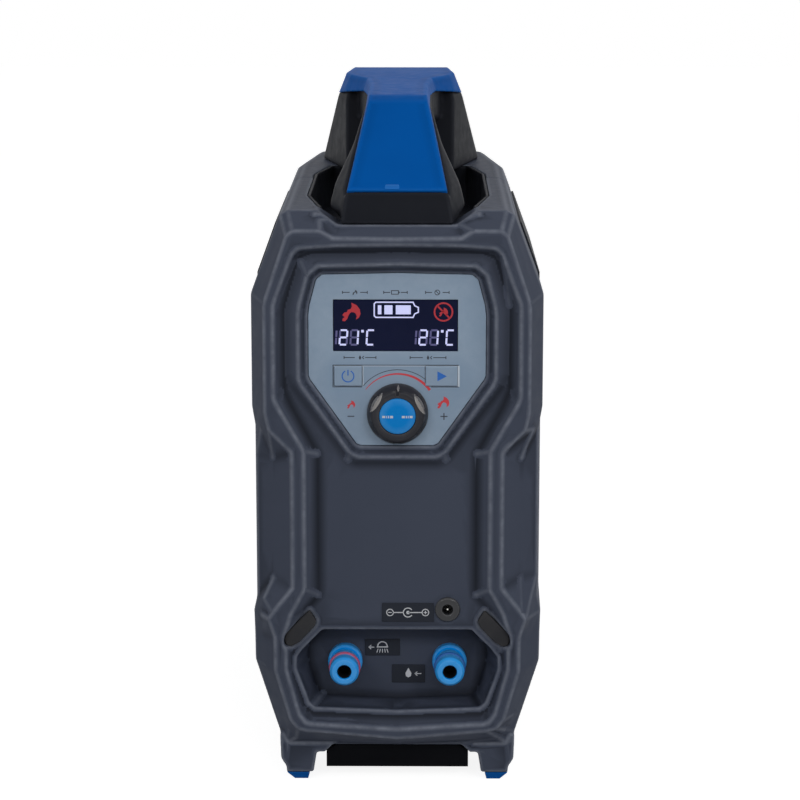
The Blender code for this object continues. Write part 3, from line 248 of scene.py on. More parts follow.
looks = {
    # spark-eroded polypropylene case: charcoal, a dry fine grain, paler edges from scuffing and painted
    # highlight, and painted shade in hollows
    "sparkGrainPolypropylene": {
        "colour": "#484e5d", "drift": "#4b5160", "wornAndLit": "#9ba1ae", "deep": "#15171d", "rough": 0.55,
        "specular": 0.05, "grain": 1.0, "depth": 0.1, "bump": 0.3, "wearAndHighlight": 0.9, "shadeInHollows": 0.9},
    # the same polypropylene on the back cover, with hardly any paler edges and less painted shade
    "sparkGrainCover": {
        "colour": "#484e5d", "drift": "#4b5160", "wornAndLit": "#525866", "deep": "#15171d", "rough": 0.6,
        "specular": 0.05, "grain": 1.0, "depth": 0.1, "bump": 0.3, "wearAndHighlight": 0.3, "shadeInHollows": 0.5},
    # glass-filled nylon: nearly black and dry, for the parts that carry load
    "glassFilledNylon": {
        "colour": "#1d1f25", "drift": "#212329", "wornAndLit": "#4b4d54", "rough": 0.55,
        "specular": 0.04, "grain": 0.8, "depth": 0.08},
    # smooth nylon of the corner plugs, without the blue and the grain of the case
    "smoothNylonPlug": {
        "colour": "#303136", "drift": "#35363a", "wornAndLit": "#5a5854", "rough": 0.55,
        "specular": 0.05, "grain": 1.6, "depth": 0.04, "bump": 0.12},
    # mid-blue ABS with a satin mould finish, and painted shade in its seams
    "satinAbsBlue": {
        "colour": "#0058ac", "drift": "#005cb2", "wornAndLit": "#2a78c8", "deep": "#00234c", "rough": 0.55,
        "specular": 0.04, "depth": 0.05, "bump": 0.18},
    # the cover's clip, the same blue polished and painted a little lighter as a painted highlight
    "clipHighlightBlue": {
        "colour": "#0f68bc", "drift": "#146ec2", "wornAndLit": "#2a80d0", "rough": 0.35, "specular": 0.2},
    # satin polycarbonate overlay, printed blue-grey from behind
    "satinPolycarbonateFilm": {
        "colour": "#8a9fb6", "drift": "#93a8bf", "wornAndLit": "#b8c7d6", "deep": "#3b4653", "rough": 0.4,
        "specular": 0.12, "grain": 0.7, "depth": 0.02, "bump": 0.12, "wearAndHighlight": 0.6, "driftSize": 90.0},
    # tinted acrylic window: polished, dark blue, with faint smears in its gloss
    "tintedAcrylicWindow": {
        "colour": "#0a1434", "drift": "#0c1738", "wornAndLit": "#2b2840", "deep": "#07060f", "rough": 0.14,
        "specular": 0.05, "grain": 20.0, "depth": 0.02, "bump": 0.05, "wearAndHighlight": 0.3, "vary": 0.03},
    # semi-gloss ABS knob, charcoal, with edges paler from finger polish and from painted highlight
    "handledAbsKnob": {
        "colour": "#2a2c33", "drift": "#2e3037", "wornAndLit": "#7d7876", "rough": 0.34,
        "specular": 0.1, "grain": 1.1, "depth": 0.03, "bump": 0.12, "wearAndHighlight": 0.6},
    # painted highlight: pale silver-grey patches in the knob's finger hollows and on its pointer, where
    # the light catches them
    "knobHighlightGrey": {
        "colour": "#7e7b7a", "drift": "#8a8785", "wornAndLit": "#c4c0bd", "rough": 0.36,
        "grain": 0.7, "depth": 0.02, "bump": 0.1, "wearAndHighlight": 0.6},
    # clear-coated blue disc set into the knob
    "clearCoatedDisc": {
        "colour": "#0084d8", "drift": "#068ade", "wornAndLit": "#8ccaf6", "deep": "#003a78", "rough": 0.25,
        "specular": 0.06, "grain": 1.5, "depth": 0.02, "bump": 0.06, "wearAndHighlight": 0.3, "coat": 0.06,
        "coatRough": 0.05},
    # moulded acetal hose connectors: waxy bright blue, glossy from the tool
    "glossAcetalBlue": {
        "colour": "#009cf8", "drift": "#06a2fc", "wornAndLit": "#a4dcff", "deep": "#063a78", "rough": 0.1,
        "specular": 0.15, "grain": 2.0, "depth": 0.02, "bump": 0.06, "wearAndHighlight": 0.6, "driftSize": 20.0},
    # polished nylon of the power jack, near black, its rims painted pale as a painted highlight
    "polishedNylonJack": {
        "colour": "#1a1b1f", "drift": "#1e1f23", "wornAndLit": "#8d8f94", "rough": 0.22,
        "specular": 0.35, "grain": 1.4, "depth": 0.02, "bump": 0.06},
    # silicone sealing ring, dusty pink-red
    "siliconeRing": {
        "colour": "#b8567e", "drift": "#c06488", "wornAndLit": "#d88aa8", "deep": "#5c1a2a", "rough": 0.45,
        "specular": 0.3, "grain": 0.6, "depth": 0.02, "bump": 0.1, "wearAndHighlight": 0.4},
    # nitrile sealing ring in the inlet's own blue
    "nitrileRing": {
        "colour": "#0c5aa8", "drift": "#1062b2", "wornAndLit": "#3c8ad0", "deep": "#04284e", "rough": 0.55,
        "grain": 0.6, "depth": 0.02, "bump": 0.1, "wearAndHighlight": 0.4},
    # dull black for the painted shade deep in the hose bores
    "boreShadeBlack": {
        "colour": "#0c0c0e", "drift": "#101012", "wornAndLit": "#202023", "rough": 0.75,
        "specular": 0.1, "grain": 0.8, "depth": 0.03, "bump": 0.15},
    # moulded rubber feet, matt blue with a chalky bloom
    "blueRubberFoot": {
        "colour": "#0356aa", "drift": "#075cb2", "wornAndLit": "#2f78c8", "deep": "#052a5a", "rough": 0.7,
        "specular": 0.04, "grain": 1.2, "depth": 0.06},
    # gloss-printed vinyl label, soft black
    "glossVinylLabel": {
        "colour": "#2f333c", "drift": "#32363f", "wornAndLit": "#30323a", "rough": 0.35,
        "specular": 0.04, "grain": 1.2, "depth": 0.02, "bump": 0.08, "wearAndHighlight": 0.4},
    # powder-coated steel pan: black with a soft orange peel
    "powderCoatedSteel": {
        "colour": "#0a0b0e", "drift": "#0d0e11", "wornAndLit": "#26272b", "rough": 0.6,
        "specular": 0.02, "grain": 2.2, "depth": 0.08, "bump": 0.2, "wearAndHighlight": 0.4},
    # glazed alumina of the electrodes: off-white, glassy
    "glazedAlumina": {
        "colour": "#ddd8cb", "drift": "#e4dfd4", "wornAndLit": "#f2efe8", "deep": "#8f8a7d", "rough": 0.22,
        "grain": 3.0, "depth": 0.02, "bump": 0.05},
    # heat-shrunk PVC round the cells
    "shrunkPvcFilm": {
        "colour": "#1c4d93", "drift": "#21559e", "wornAndLit": "#5a8ac8", "deep": "#0c2a55", "rough": 0.32,
        "grain": 6.0, "depth": 0.15, "bump": 0.3},
}
metals = {
    "brushedSteelSheet": {"colour": "#a9abae", "drift": "#9b9da1", "rough": 0.38, "stretch": (1, 0.04, 1)},
    # the flue's sheet, browned by its heat and darkened further as painted shade, so that it stays dark
    # behind the grille
    "heatTintAndShadeSteel": {"colour": "#3a3430", "drift": "#2c2826", "rough": 0.55, "stretch": (1, 0.04, 1)},
    "zincPlatedScrew": {"colour": "#8b8c8f", "drift": "#7c7d81", "rough": 0.34, "stretch": (1, 1, 1)},
    "turnedBrass": {"colour": "#c9a45c", "drift": "#bd9750", "rough": 0.3, "stretch": (1, 0.05, 1)},
    "drawnCopper": {"colour": "#c47a55", "drift": "#b86c49", "rough": 0.32},
    "polishedNickel": {"colour": "#c9c8c4", "drift": "#bdbbb6", "rough": 0.18, "stretch": (1, 1, 1)},
}
inks = {
    "litSegment": {"colour": "#b9bce6", "drift": "#c6c9f0", "glow": 0.5},
    "dimSegment": {"colour": "#4b4a78", "drift": "#565484", "glow": 0.2},
    "litRed": {"colour": "#9c1c28", "drift": "#a9222d", "glow": 0.22},
    "redInk": {"colour": "#c8303a", "drift": "#d03a42"},
    "blueInk": {"colour": "#1a62b8", "drift": "#2069c0"},
    "darkInk": {"colour": "#2c3440", "drift": "#333c49"},
    "whiteInk": {"colour": "#c9ccd2", "drift": "#d4d7dc"},
    "buttonEdgeHighlight": {"colour": "#c3ced9", "drift": "#ccd6e0"},
}
boards = {"solderMaskBoard": {"colour": "#0d4a26", "drift": "#0f5229", "track": "#2a7a44"}}
materials = {}
for make, family in ((moulded, looks), (metal, metals), (printed, inks), (circuitBoard, boards)):
    materials.update({name: make(name, look) for name, look in family.items()})
print("materials made:", len(materials))


# Shells and other moulded pieces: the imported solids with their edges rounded

# weld and sliver distances, the angle in radians under which a fold counts as flat, the thinnest
# face that takes a bevel, and the fold in degrees that counts as a full edge
skins = {"weld": 0.02, "sliver": 0.12, "flat": 0.004, "thinnest": 0.2, "fullFold": 28}
# creases over this angle leave a trail of points, steep ones hold back the smoothing nearby, and
# ridges and hollows reach this far into the faces beside them, as paler edges and painted shade
casting = {"crease": 14, "spacing": 0.8, "steep": 62, "steepReach": 1.6, "longest": 18,
           "fullFold": 40, "ridgeWearAndHighlightReach": 2.6, "hollowShadeReach": 6.76}


def meshOf(name, bm, finish):
    mesh = bpy.data.meshes.new(name)
    bm.to_mesh(mesh)
    bm.free()
    mesh.materials.clear()
    mesh.materials.append(materials[finish])
    return mesh


def foldOf(line):
    return line.calc_face_angle_signed(0.0) if len(line.link_faces) == 2 else 0.0


def keepEdges(mesh, values):
    mesh.attributes.new("edge", "FLOAT", "POINT").data.foreach_set("value", values)


def markEdges(mesh):
    # one number a point: above 0 on outer edges, below 0 in corners, for the paler edges (scuffing and
    # painted highlight) and the painted shade in corners
    bm = bmesh.new()
    bm.from_mesh(mesh)
    bm.normal_update()
    values = []
    for vert in bm.verts:
        folds = [foldOf(e) for e in vert.link_edges if len(e.link_faces) == 2]
        high, low = max(folds, default=0.0), min(folds, default=0.0)
        strongest = high if high >= -low else low
        values.append(max(-1.0, min(1.0, strongest / math.radians(skins["fullFold"]))))
    bm.free()
    keepEdges(mesh, values)


def triangulated(bm):
    bmesh.ops.triangulate(bm, faces=[f for f in bm.faces if len(f.verts) > 3])


def welded(nodeName):
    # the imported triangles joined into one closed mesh, without slivers
    bm = bmesh.new()
    bm.from_mesh(nodes[nodeName].data)
    bmesh.ops.remove_doubles(bm, verts=bm.verts, dist=skins["weld"] * mm)
    bmesh.ops.dissolve_degenerate(bm, edges=bm.edges, dist=skins["sliver"] * mm)
    triangulated(bm)
    flat = [e for e in bm.edges if len(e.link_faces) == 2 and abs(foldOf(e)) < skins["flat"]]
    bmesh.ops.beautify_fill(bm, faces=bm.faces[:], edges=flat)
    bm.normal_update()
    return bm


def skinObject(nodeName, bm, finish):
    mesh = meshOf(nodeName + "Skin", bm, finish)
    for extra in ("custom_normal", "sharp_edge", "sharp_face", "UVMap"):
        if extra in mesh.attributes:
            mesh.attributes.remove(mesh.attributes[extra])
    return newObject(nodeName + "Finish", mesh)


def evened(piece):
    piece.data.shade_smooth()
    return worked(piece, "WEIGHTED_NORMAL", mode="FACE_AREA", keep_sharp=False)


def keptIn(points, least, most):
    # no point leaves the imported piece's box
    for point in points:
        point.co = [min(max(point.co[k], least[k]), most[k]) for k in range(3)]


def thinness(face):
    # height of a face over its longest edge, in metres
    longest = max(e.calc_length() for e in face.edges)
    return 2 * face.calc_area() / max(longest, 1e-9)


def dressed(nodeName, finish, slotName, edge, steps, sharp):
    # small pieces: every sharp edge gets a bevel
    bm = welded(nodeName)
    weight = bm.edges.layers.float.new("bevel_weight_edge")
    for line in bm.edges:
        if abs(foldOf(line)) > math.radians(sharp):
            if min(thinness(f) for f in line.link_faces) > skins["thinnest"] * mm:
                line[weight] = 1.0
    piece = skinObject(nodeName, bm, finish)
    worked(piece, "BEVEL", width=edge * mm, segments=steps, limit_method="WEIGHT",
           use_clamp_overlap=False, miter_outer="MITER_ARC")
    keptIn(piece.data.vertices, *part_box(nodeName))
    evened(piece)
    markEdges(piece.data)
    return place(piece, bodyOf(nodeName), slotName, nodeName)


def creaseSpots(bm):
    # points along every crease, each with the crease's signed angle
    spots = []
    for line in bm.edges:
        angle = math.degrees(foldOf(line))
        if abs(angle) > casting["crease"]:
            one, two = (v.co for v in line.verts)
            count = max(1, int((two - one).length / (casting["spacing"] * mm)))
            spots += [(one.lerp(two, (k + 0.5) / count), angle) for k in range(count)]
    return spots


def nearness(spots):
    tree = KDTree(len(spots))
    for k, spot in enumerate(spots):
        tree.insert(spot[0], k)
    tree.balance()
    return tree


def freed(piece, spots, hold):
    # the vertex group that the smoothing follows: 1 in the open, less beside steep rims
    steep = nearness([spot for spot in spots if abs(spot[1]) > casting["steep"]])
    held, loose = [], []
    for vert in piece.data.vertices:
        near = steep.find(vert.co)[2] < casting["steepReach"] * mm
        (held if near else loose).append(vert.index)
    free = piece.vertex_groups.new(name="free")
    free.add(held, hold, "REPLACE")
    free.add(loose, 1.0, "REPLACE")


def trimmed(mesh, least, most):
    # long flat triangles are cut up, so that the edge numbers don't smear across them
    bm = bmesh.new()
    bm.from_mesh(mesh)
    for turn in range(3):
        long = [e for e in bm.edges if e.calc_length() > casting["longest"] * mm]
        bmesh.ops.subdivide_edges(bm, edges=long, cuts=1)
        triangulated(bm)
    keptIn(bm.verts, least, most)
    bm.to_mesh(mesh)
    bm.free()


def markCreases(mesh, spots):
    # the edge numbers of a cast piece, from how near each point is to a ridge or a hollow
    ridges, hollows = [[s for s in spots if s[1] * sign > 0] for sign in (1, -1)]
    ridgeTree, hollowTree, values = nearness(ridges), nearness(hollows), []
    for vert in mesh.vertices:
        k, away = ridgeTree.find(vert.co)[1:]
        n, depth = hollowTree.find(vert.co)[1:]
        high = min(1.0, ridges[k][1] / casting["fullFold"])
        high *= max(0.0, 1.0 - away / (casting["ridgeWearAndHighlightReach"] * mm))
        low = max(-1.0, hollows[n][1] / casting["fullFold"])
        low *= max(0.0, 1.0 - depth / (casting["hollowShadeReach"] * mm))
        values.append(high if high > 0 else low)
    keepEdges(mesh, values)


def cast(nodeName, finish, slotName, grid, passes, hold, budget):
    # large moulded shells: the whole skin is drawn anew on a fine grid and smoothed, so that every
    # ridge and corner flows into the next
    bm = welded(nodeName)
    spots = creaseSpots(bm)
    least = [min(v.co[k] for v in bm.verts) for k in range(3)]
    most = [max(v.co[k] for v in bm.verts) for k in range(3)]
    piece = skinObject(nodeName, bm, finish)
    worked(piece, "REMESH", mode="VOXEL", voxel_size=grid * mm)
    freed(piece, spots, hold)
    worked(piece, "SMOOTH", factor=0.5, iterations=passes, vertex_group="free")
    piece.vertex_groups.clear()
    triangles = 2 * len(piece.data.polygons)
    if triangles > budget:
        worked(piece, "DECIMATE", ratio=budget / triangles)
    trimmed(piece.data, least, most)
    evened(piece)
    markCreases(piece.data, spots)
    print(nodeName, "cast with", len(piece.data.polygons), "faces")
    return place(piece, bodyOf(nodeName), slotName, nodeName)


# nodes: material, slot, edge radius, bevel steps, sharpest angle left alone
shells = {
    "left_side_panel right_side_panel": ("glassFilledNylon", "dark_plastic", 0.7, 3, 24),
    "base_pan": ("powderCoatedSteel", "painted_steel", 0.5, 3, 24),
    "foot_front_left foot_front_right foot_rear_left foot_rear_right":
        ("blueRubberFoot", "foot_rubber", 0.8, 3, 24),
    "corner_plug_left corner_plug_right": ("smoothNylonPlug", "plug_plastic", 0.7, 3, 24),
    "control_panel": ("satinPolycarbonateFilm", "panel_plastic", 0.35, 2, 24),
    "display_window": ("tintedAcrylicWindow", "display_plastic", 0.25, 2, 24),
    "power_button start_button": ("satinPolycarbonateFilm", "panel_plastic", 0.3, 2, 24),
    "knob_body": ("handledAbsKnob", "knob_plastic", 0.45, 3, 26),
    "knob_cap": ("clearCoatedDisc", "blue_gloss", 0.3, 2, 40),
    "jack_housing": ("polishedNylonJack", "dark_plastic", 0.4, 3, 35),
    "jack_label_plate outlet_label_plate inlet_label_plate":
        ("glossVinylLabel", "label_film", 0.2, 2, 24),
    "outlet_connector inlet_connector": ("glossAcetalBlue", "connector_plastic", 0.35, 2, 35),
    "exhaust_grille": ("glassFilledNylon", "dark_plastic", 0.5, 2, 24),
    "service_cover": ("sparkGrainCover", "casing_plastic", 0.7, 3, 24),
    "gas_inlet_fitting": ("turnedBrass", "brass", 0.3, 2, 35),
    "gas_valve": ("turnedBrass", "brass", 1.5, 3, 24),
    "battery_pack": ("shrunkPvcFilm", "battery_film", 3.0, 4, 24),
    "inlet_lock_nut outlet_lock_nut": ("turnedBrass", "brass", 0.4, 2, 40),
    "display_module": ("glassFilledNylon", "dark_plastic", 0.5, 2, 24),
    "heat_exchanger": ("drawnCopper", "copper", 0.5, 2, 24),
    "combustion_chamber": ("brushedSteelSheet", "bare_steel", 0.3, 2, 24),
    "burner": ("brushedSteelSheet", "bare_steel", 0.6, 2, 24),
}
for nodeNames, row in shells.items():
    for nodeName in nodeNames.split():
        dressed(nodeName, *row)
print("small moulded pieces finished")

# node: material, slot, grid size, smoothing passes, how far steep rims follow them, most triangles
castings = {
    "front_casing": ("sparkGrainPolypropylene", "casing_plastic", 1.0, 14, 0.3, 130000),
    "rear_casing": ("sparkGrainPolypropylene", "casing_plastic", 1.2, 10, 0.3, 80000),
    "handle_frame": ("glassFilledNylon", "dark_plastic", 0.9, 50, 0.4, 80000),
    "handle_cover": ("satinAbsBlue", "blue_plastic", 0.8, 110, 0.08, 80000),
    "handle_well": ("glassFilledNylon", "dark_plastic", 0.9, 3, 0.5, 50000),
}
for nodeName, row in castings.items():
    cast(nodeName, *row)

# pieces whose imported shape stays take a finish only
carried = {
    "brushedSteelSheet": "chassis knob_shaft", "heatTintAndShadeSteel": "flue_hood",
    "polishedNickel": "jack_pin", "siliconeRing": "outlet_o_ring", "nitrileRing": "inlet_o_ring",
    "glazedAlumina": "igniter flame_sensor", "glassFilledNylon": "flow_sensor",
    "drawnCopper": "gas_pipe gas_manifold water_out_pipe water_in_pipe",
    "solderMaskBoard": "control_board",
}
for finish, nodeNames in carried.items():
    for nodeName in nodeNames.split():
        for slot in nodes[nodeName].material_slots:
            slot.material = materials[finish]
print("pieces carried over")


# Repeated pieces, each made by a node tree with named sizes

def newTree(name, given):
    # a socket for each size, its kind taken from its first value
    kinds = {int: "NodeSocketInt", float: "NodeSocketFloat", tuple: "NodeSocketVector"}
    tree = bpy.data.node_groups.new(name, "GeometryNodeTree")
    for way in ("INPUT", "OUTPUT"):
        tree.interface.new_socket("Geometry", in_out=way, socket_type="NodeSocketGeometry")
    for label, value in given.items():
        socket = tree.interface.new_socket(label, in_out="INPUT", socket_type=kinds[type(value)])
        socket.default_value = value
    return tree, addNode(tree, "NodeGroupInput").outputs


def endTree(tree, points, piece, material, turns=(0, 0, 0)):
    # the piece on every point, made real and given its material
    many = addNode(tree, "GeometryNodeInstanceOnPoints", None, {
        "Points": points, "Instance": piece, "Rotation": turns})
    whole = addNode(tree, "GeometryNodeRealizeInstances", None, {0: many.outputs[0]})
    painted = addNode(tree, "GeometryNodeSetMaterial", None, {
        "Geometry": whole.outputs[0], "Material": material})
    addNode(tree, "NodeGroupOutput", None, {0: painted.outputs[0]})
    return tree


def slatTree(name, material):
    # flat rounded bars, one every Step from Start
    tree, given = newTree(name, {
        "Count": 6, "Start": (0, 0, 0), "Step": (0, 0, 0.01), "Size": (1, 1, 1), "Turn": (0, 0, 0)})
    line = addNode(tree, "GeometryNodeMeshLine", {"mode": "OFFSET"}, {
        "Count": given["Count"], "Start Location": given["Start"], "Offset": given["Step"]})
    bar = addNode(tree, "GeometryNodeMeshCylinder", None, {"Vertices": 12, "Radius": 0.5, "Depth": 1.0})
    sized = addNode(tree, "GeometryNodeTransform", None, {
        "Geometry": bar.outputs["Mesh"], "Rotation": given["Turn"], "Scale": given["Size"]})
    return endTree(tree, line.outputs["Mesh"], sized.outputs[0], material)


def screwTree(name, material):
    # tapered heads with a hexagonal socket, one on each point, turned to the point's facing
    tree, given = newTree(name, {
        "Head Radius": 0.003, "Head Height": 0.0016, "Socket Radius": 0.0013})
    narrow = maths(tree, "MULTIPLY", given["Head Radius"], 0.74)
    head = addNode(tree, "GeometryNodeMeshCone", None, {
        "Vertices": 28, "Radius Bottom": given["Head Radius"], "Radius Top": narrow,
        "Depth": given["Head Height"]})
    key = addNode(tree, "GeometryNodeMeshCylinder", None, {
        "Vertices": 6, "Radius": given["Socket Radius"], "Depth": 0.002})
    lift = addNode(tree, "ShaderNodeCombineXYZ", None, {"Z": given["Head Height"]})
    raised = addNode(tree, "GeometryNodeTransform", None, {
        "Geometry": key.outputs["Mesh"], "Translation": lift.outputs[0]})
    socket = addNode(tree, "GeometryNodeMeshBoolean", {"operation": "DIFFERENCE"}, {
        "Mesh 1": head.outputs["Mesh"], "Mesh 2": raised.outputs[0]})
    facing = addNode(tree, "GeometryNodeInputNamedAttribute", {"data_type": "FLOAT_VECTOR"}, {
        "Name": "facing"})
    turn = addNode(tree, "FunctionNodeAlignRotationToVector", {"axis": "Z"}, {
        "Vector": facing.outputs["Attribute"]})
    return endTree(tree, given["Geometry"], socket.outputs["Mesh"], material, turn.outputs[0])


def grown(name, tree, values, slotName, points=(), facing=()):
    mesh = bpy.data.meshes.new(name)
    mesh.from_pydata([Vector(p) * mm for p in points], [], [])
    if facing:
        turns = mesh.attributes.new("facing", "FLOAT_VECTOR", "POINT")
        turns.data.foreach_set("vector", [c for f in facing for c in f])
    piece = newObject(name, mesh)
    modifier = piece.modifiers.new("build", "NODES")
    modifier.node_group = tree
    for item in tree.interface.items_tree:
        if item.in_out == "INPUT" and item.name in values:
            modifier[item.identifier] = values[item.name]
    settle(piece)
    piece.data.shade_smooth()
    piece.data.set_sharp_from_angle(angle=math.radians(38))
    return place(piece, "case", slotName)


def slats(name, tree, slotName, bars):
    # first, step and size in mm along x, y and z; turn in degrees
    start, step, size = (tuple(v * mm for v in bars[key]) for key in ("first", "step", "size"))
    turn = tuple(math.radians(v) for v in bars.get("turn", (0, 0, 0)))
    return grown(name, tree, {
        "Count": bars["count"], "Start": start, "Step": step, "Size": size, "Turn": turn}, slotName)


def screws(name, look, points, facing):
    return grown(name, screwHeads, {
        "Head Radius": look["radius"] * mm, "Head Height": look["height"] * mm,
        "Socket Radius": look["socket"] * mm}, "bare_steel", points, facing)


nylonSlats = slatTree("nylonSlats", materials["glassFilledNylon"])
copperFins = slatTree("copperFins", materials["drawnCopper"])
screwHeads = screwTree("screwHeads", materials["zincPlatedScrew"])

louvres = {"count": 9, "low": 152.5, "out": 86.6, "step": (0, 0, 14.0), "size": (7.5, 1.3, 111.0),
           "tilt": 38.0}
for side, sign in (("left", -1), ("right", 1)):
    slats(side + "LouvreBlades", nylonSlats, "dark_plastic", dict(
        louvres, first=(sign * louvres["out"], 0, louvres["low"]), turn=(90, sign * louvres["tilt"], 0)))
grilleBars = {"count": 9, "first": (-34.0, 182.6, 310.0), "step": (8.5, 0, 0), "size": (1.6, 1.6, 40.0)}
slats("exhaustGrilleBars", nylonSlats, "dark_plastic", grilleBars)
gripRibs = {"count": 12, "first": (0, -62.0, 402.0), "step": (0, 8.0, 0), "size": (1.6, 3.4, 30.0),
            "turn": (0, 90, 0)}
slats("gripRibs", nylonSlats, "dark_plastic", gripRibs)
fins = {"count": 30, "first": (-46.4, 0, 257.0), "step": (3.2, 0, 0), "size": (0.5, 81.0, 52.0)}
slats("exchangerFins", copperFins, "copper", fins)

rearScrews = {"radius": 2.6, "height": 1.3, "socket": 1.2, "coverY": 186.4, "casingY": 185.4}
points = [(x, rearScrews["coverY"], z) for x in (-32.5, 32.5) for z in (128.0, 226.0)]
points += [(x, rearScrews["casingY"], z) for x in (-48.5, 48.5) for z in (110.0, 250.0)]
screws("rearScrews", rearScrews, points, [(0, 1, 0)] * len(points))

sideScrews = {"radius": 2.8, "height": 1.0, "socket": 1.3, "out": 90.15, "reach": 74.0,
              "heights": (104.0, 296.0)}
points = [(sign * sideScrews["out"], y, z) for sign in (-1, 1)
          for y in (-sideScrews["reach"], sideScrews["reach"]) for z in sideScrews["heights"]]
screws("sidePanelScrews", sideScrews, points, [(math.copysign(1, x), 0, 0) for x, y, z in points])

panScrews = {"radius": 3.0, "height": 1.2, "socket": 1.3, "z": 7.2, "x": 36.0,
             "rows": (-155.0, -30.0, 98.0)}
points = [(sign * panScrews["x"], y, panScrews["z"]) for sign in (-1, 1) for y in panScrews["rows"]]
screws("basePanScrews", panScrews, points, [(0, 0, -1)] * len(points))
print("slats, ribs, fins and screws grown")


# Printed marks and lit segments: thin solids on the faces that carry them

def faceOf(nodeName):
    return BVHTree.FromPolygons([v.co for v in nodes[nodeName].data.vertices],
                                [tuple(p.vertices) for p in nodes[nodeName].data.polygons])


def dropped(hull, ahead, x, z):
    # where a point before the piece lands on it, going back along y
    return hull.ray_cast(Vector((x, ahead, z)), Vector((0, 1, 0)))[0].y


def walled(bm, near, far):
    for k in range(len(near)):
        n = (k + 1) % len(near)
        bm.faces.new((near[n], near[k], far[k], far[n]))


def thinSolid(bm, outline, front, back, hull):
    # outline is a list of (x, z); the solid runs from front to back, counted from the hull if given
    turn = sum((a[0] - b[0]) * (a[1] + b[1]) for a, b in zip(outline, outline[1:] + outline[:1]))
    if turn < 0:
        outline = outline[::-1]
    base = [dropped(hull, -1, x * mm, z * mm) if hull else 0.0 for x, z in outline]
    near = [bm.verts.new((x * mm, front * mm + y, z * mm)) for (x, z), y in zip(outline, base)]
    far = [bm.verts.new((x * mm, back * mm + y, z * mm)) for (x, z), y in zip(outline, base)]
    bm.faces.new(near)
    bm.faces.new(far[::-1])
    walled(bm, near, far)


def marks(name, shapes, nodeName, finish, slotName, thick=0.04, sunk=0.03, hull=None):
    # printed on the front of a node, or laid on its hull where that isn't flat
    bm = bmesh.new()
    front = 0.0 if hull else frontOf(nodeName)
    for outline in shapes:
        thinSolid(bm, outline, front - thick, front + sunk, hull)
    return place(newObject(name, meshOf(name, bm, finish)), bodyOf(nodeName), slotName)


def strokeShape(points, width, closed=False, ends=None):
    # an even or tapering line as a list of four-sided outlines
    pts = [Vector(p) for p in points]
    count = len(pts)
    first, last = ends or (width, width)
    rims = []
    for k, p in enumerate(pts):
        before = pts[k - 1] if k or closed else p
        after = pts[(k + 1) % count] if k < count - 1 or closed else p
        one = (p - before).normalized() if (p - before).length else (after - p).normalized()
        two = (after - p).normalized() if (after - p).length else one
        normal = Vector((-(one + two).y, (one + two).x)).normalized()
        half = (first + (last - first) * k / (count - 1)) / 2
        reach = half / max(normal.dot(Vector((-one.y, one.x))), 0.5)
        rims.append((p + normal * reach, p - normal * reach))
    pairs = list(zip(rims, rims[1:])) + ([(rims[-1], rims[0])] if closed else [])
    return [[tuple(a), tuple(b), tuple(d), tuple(c)] for (a, c), (b, d) in pairs]


def strokes(width, *paths):
    return [shape for path in paths for shape in strokeShape(path, width)]


def arcPoints(cx, cz, radius, start, end, steps=28):
    angles = [math.radians(start + (end - start) * k / steps) for k in range(steps + 1)]
    return [(cx + radius * math.cos(a), cz + radius * math.sin(a)) for a in angles]


def circlePoints(cx, cz, radius, count):
    return arcPoints(cx, cz, radius, 0, 360 - 360 / count, count - 1)


def ringShape(cx, cz, radius, width=0.5, count=24):
    return strokeShape(circlePoints(cx, cz, radius, count), width, closed=True)


def rectShape(x0, x1, z0, z1):
    return [[(x0, z0), (x1, z0), (x1, z1), (x0, z1)]]


flameOutline = [
    (0.02, 1.0), (0.30, 0.86), (0.46, 0.64), (0.50, 0.40), (0.42, 0.20), (0.26, 0.10), (0.30, 0.26),
    (0.26, 0.40), (0.16, 0.48), (0.02, 0.50), (-0.06, 0.44), (-0.14, 0.30), (-0.20, 0.14),
    (-0.32, 0.0), (-0.46, 0.02), (-0.44, 0.16), (-0.34, 0.22), (-0.46, 0.34), (-0.36, 0.46),
    (-0.22, 0.50), (-0.16, 0.62), (-0.02, 0.66), (0.04, 0.78)]


def flameShape(cx, cz, height):
    # a generic burner flame
    return [[(cx + x * height, cz + (z - 0.5) * height) for x, z in flameOutline]]


def digitShape(x, z, wide, high, which, thick=1.15):
    # seven-segment strokes, named as usual from a, the top, clockwise to f, with g in the middle
    gap, half, lean = 0.28, high / 2, 0.06
    ends = {"a": ((0, high), (wide, high)), "d": ((0, 0), (wide, 0)), "g": ((0, half), (wide, half)),
            "b": ((wide, half), (wide, high)), "c": ((wide, 0), (wide, half)),
            "e": ((0, 0), (0, half)), "f": ((0, half), (0, high))}
    shapes = []
    for letter in which:
        one, two = (Vector(p) for p in ends[letter])
        along = (two - one).normalized() * gap
        one, two = one + along, two - along
        shapes += strokes(thick, [(x + p.x + p.y * lean, z + p.y) for p in (one, two)])
    return shapes


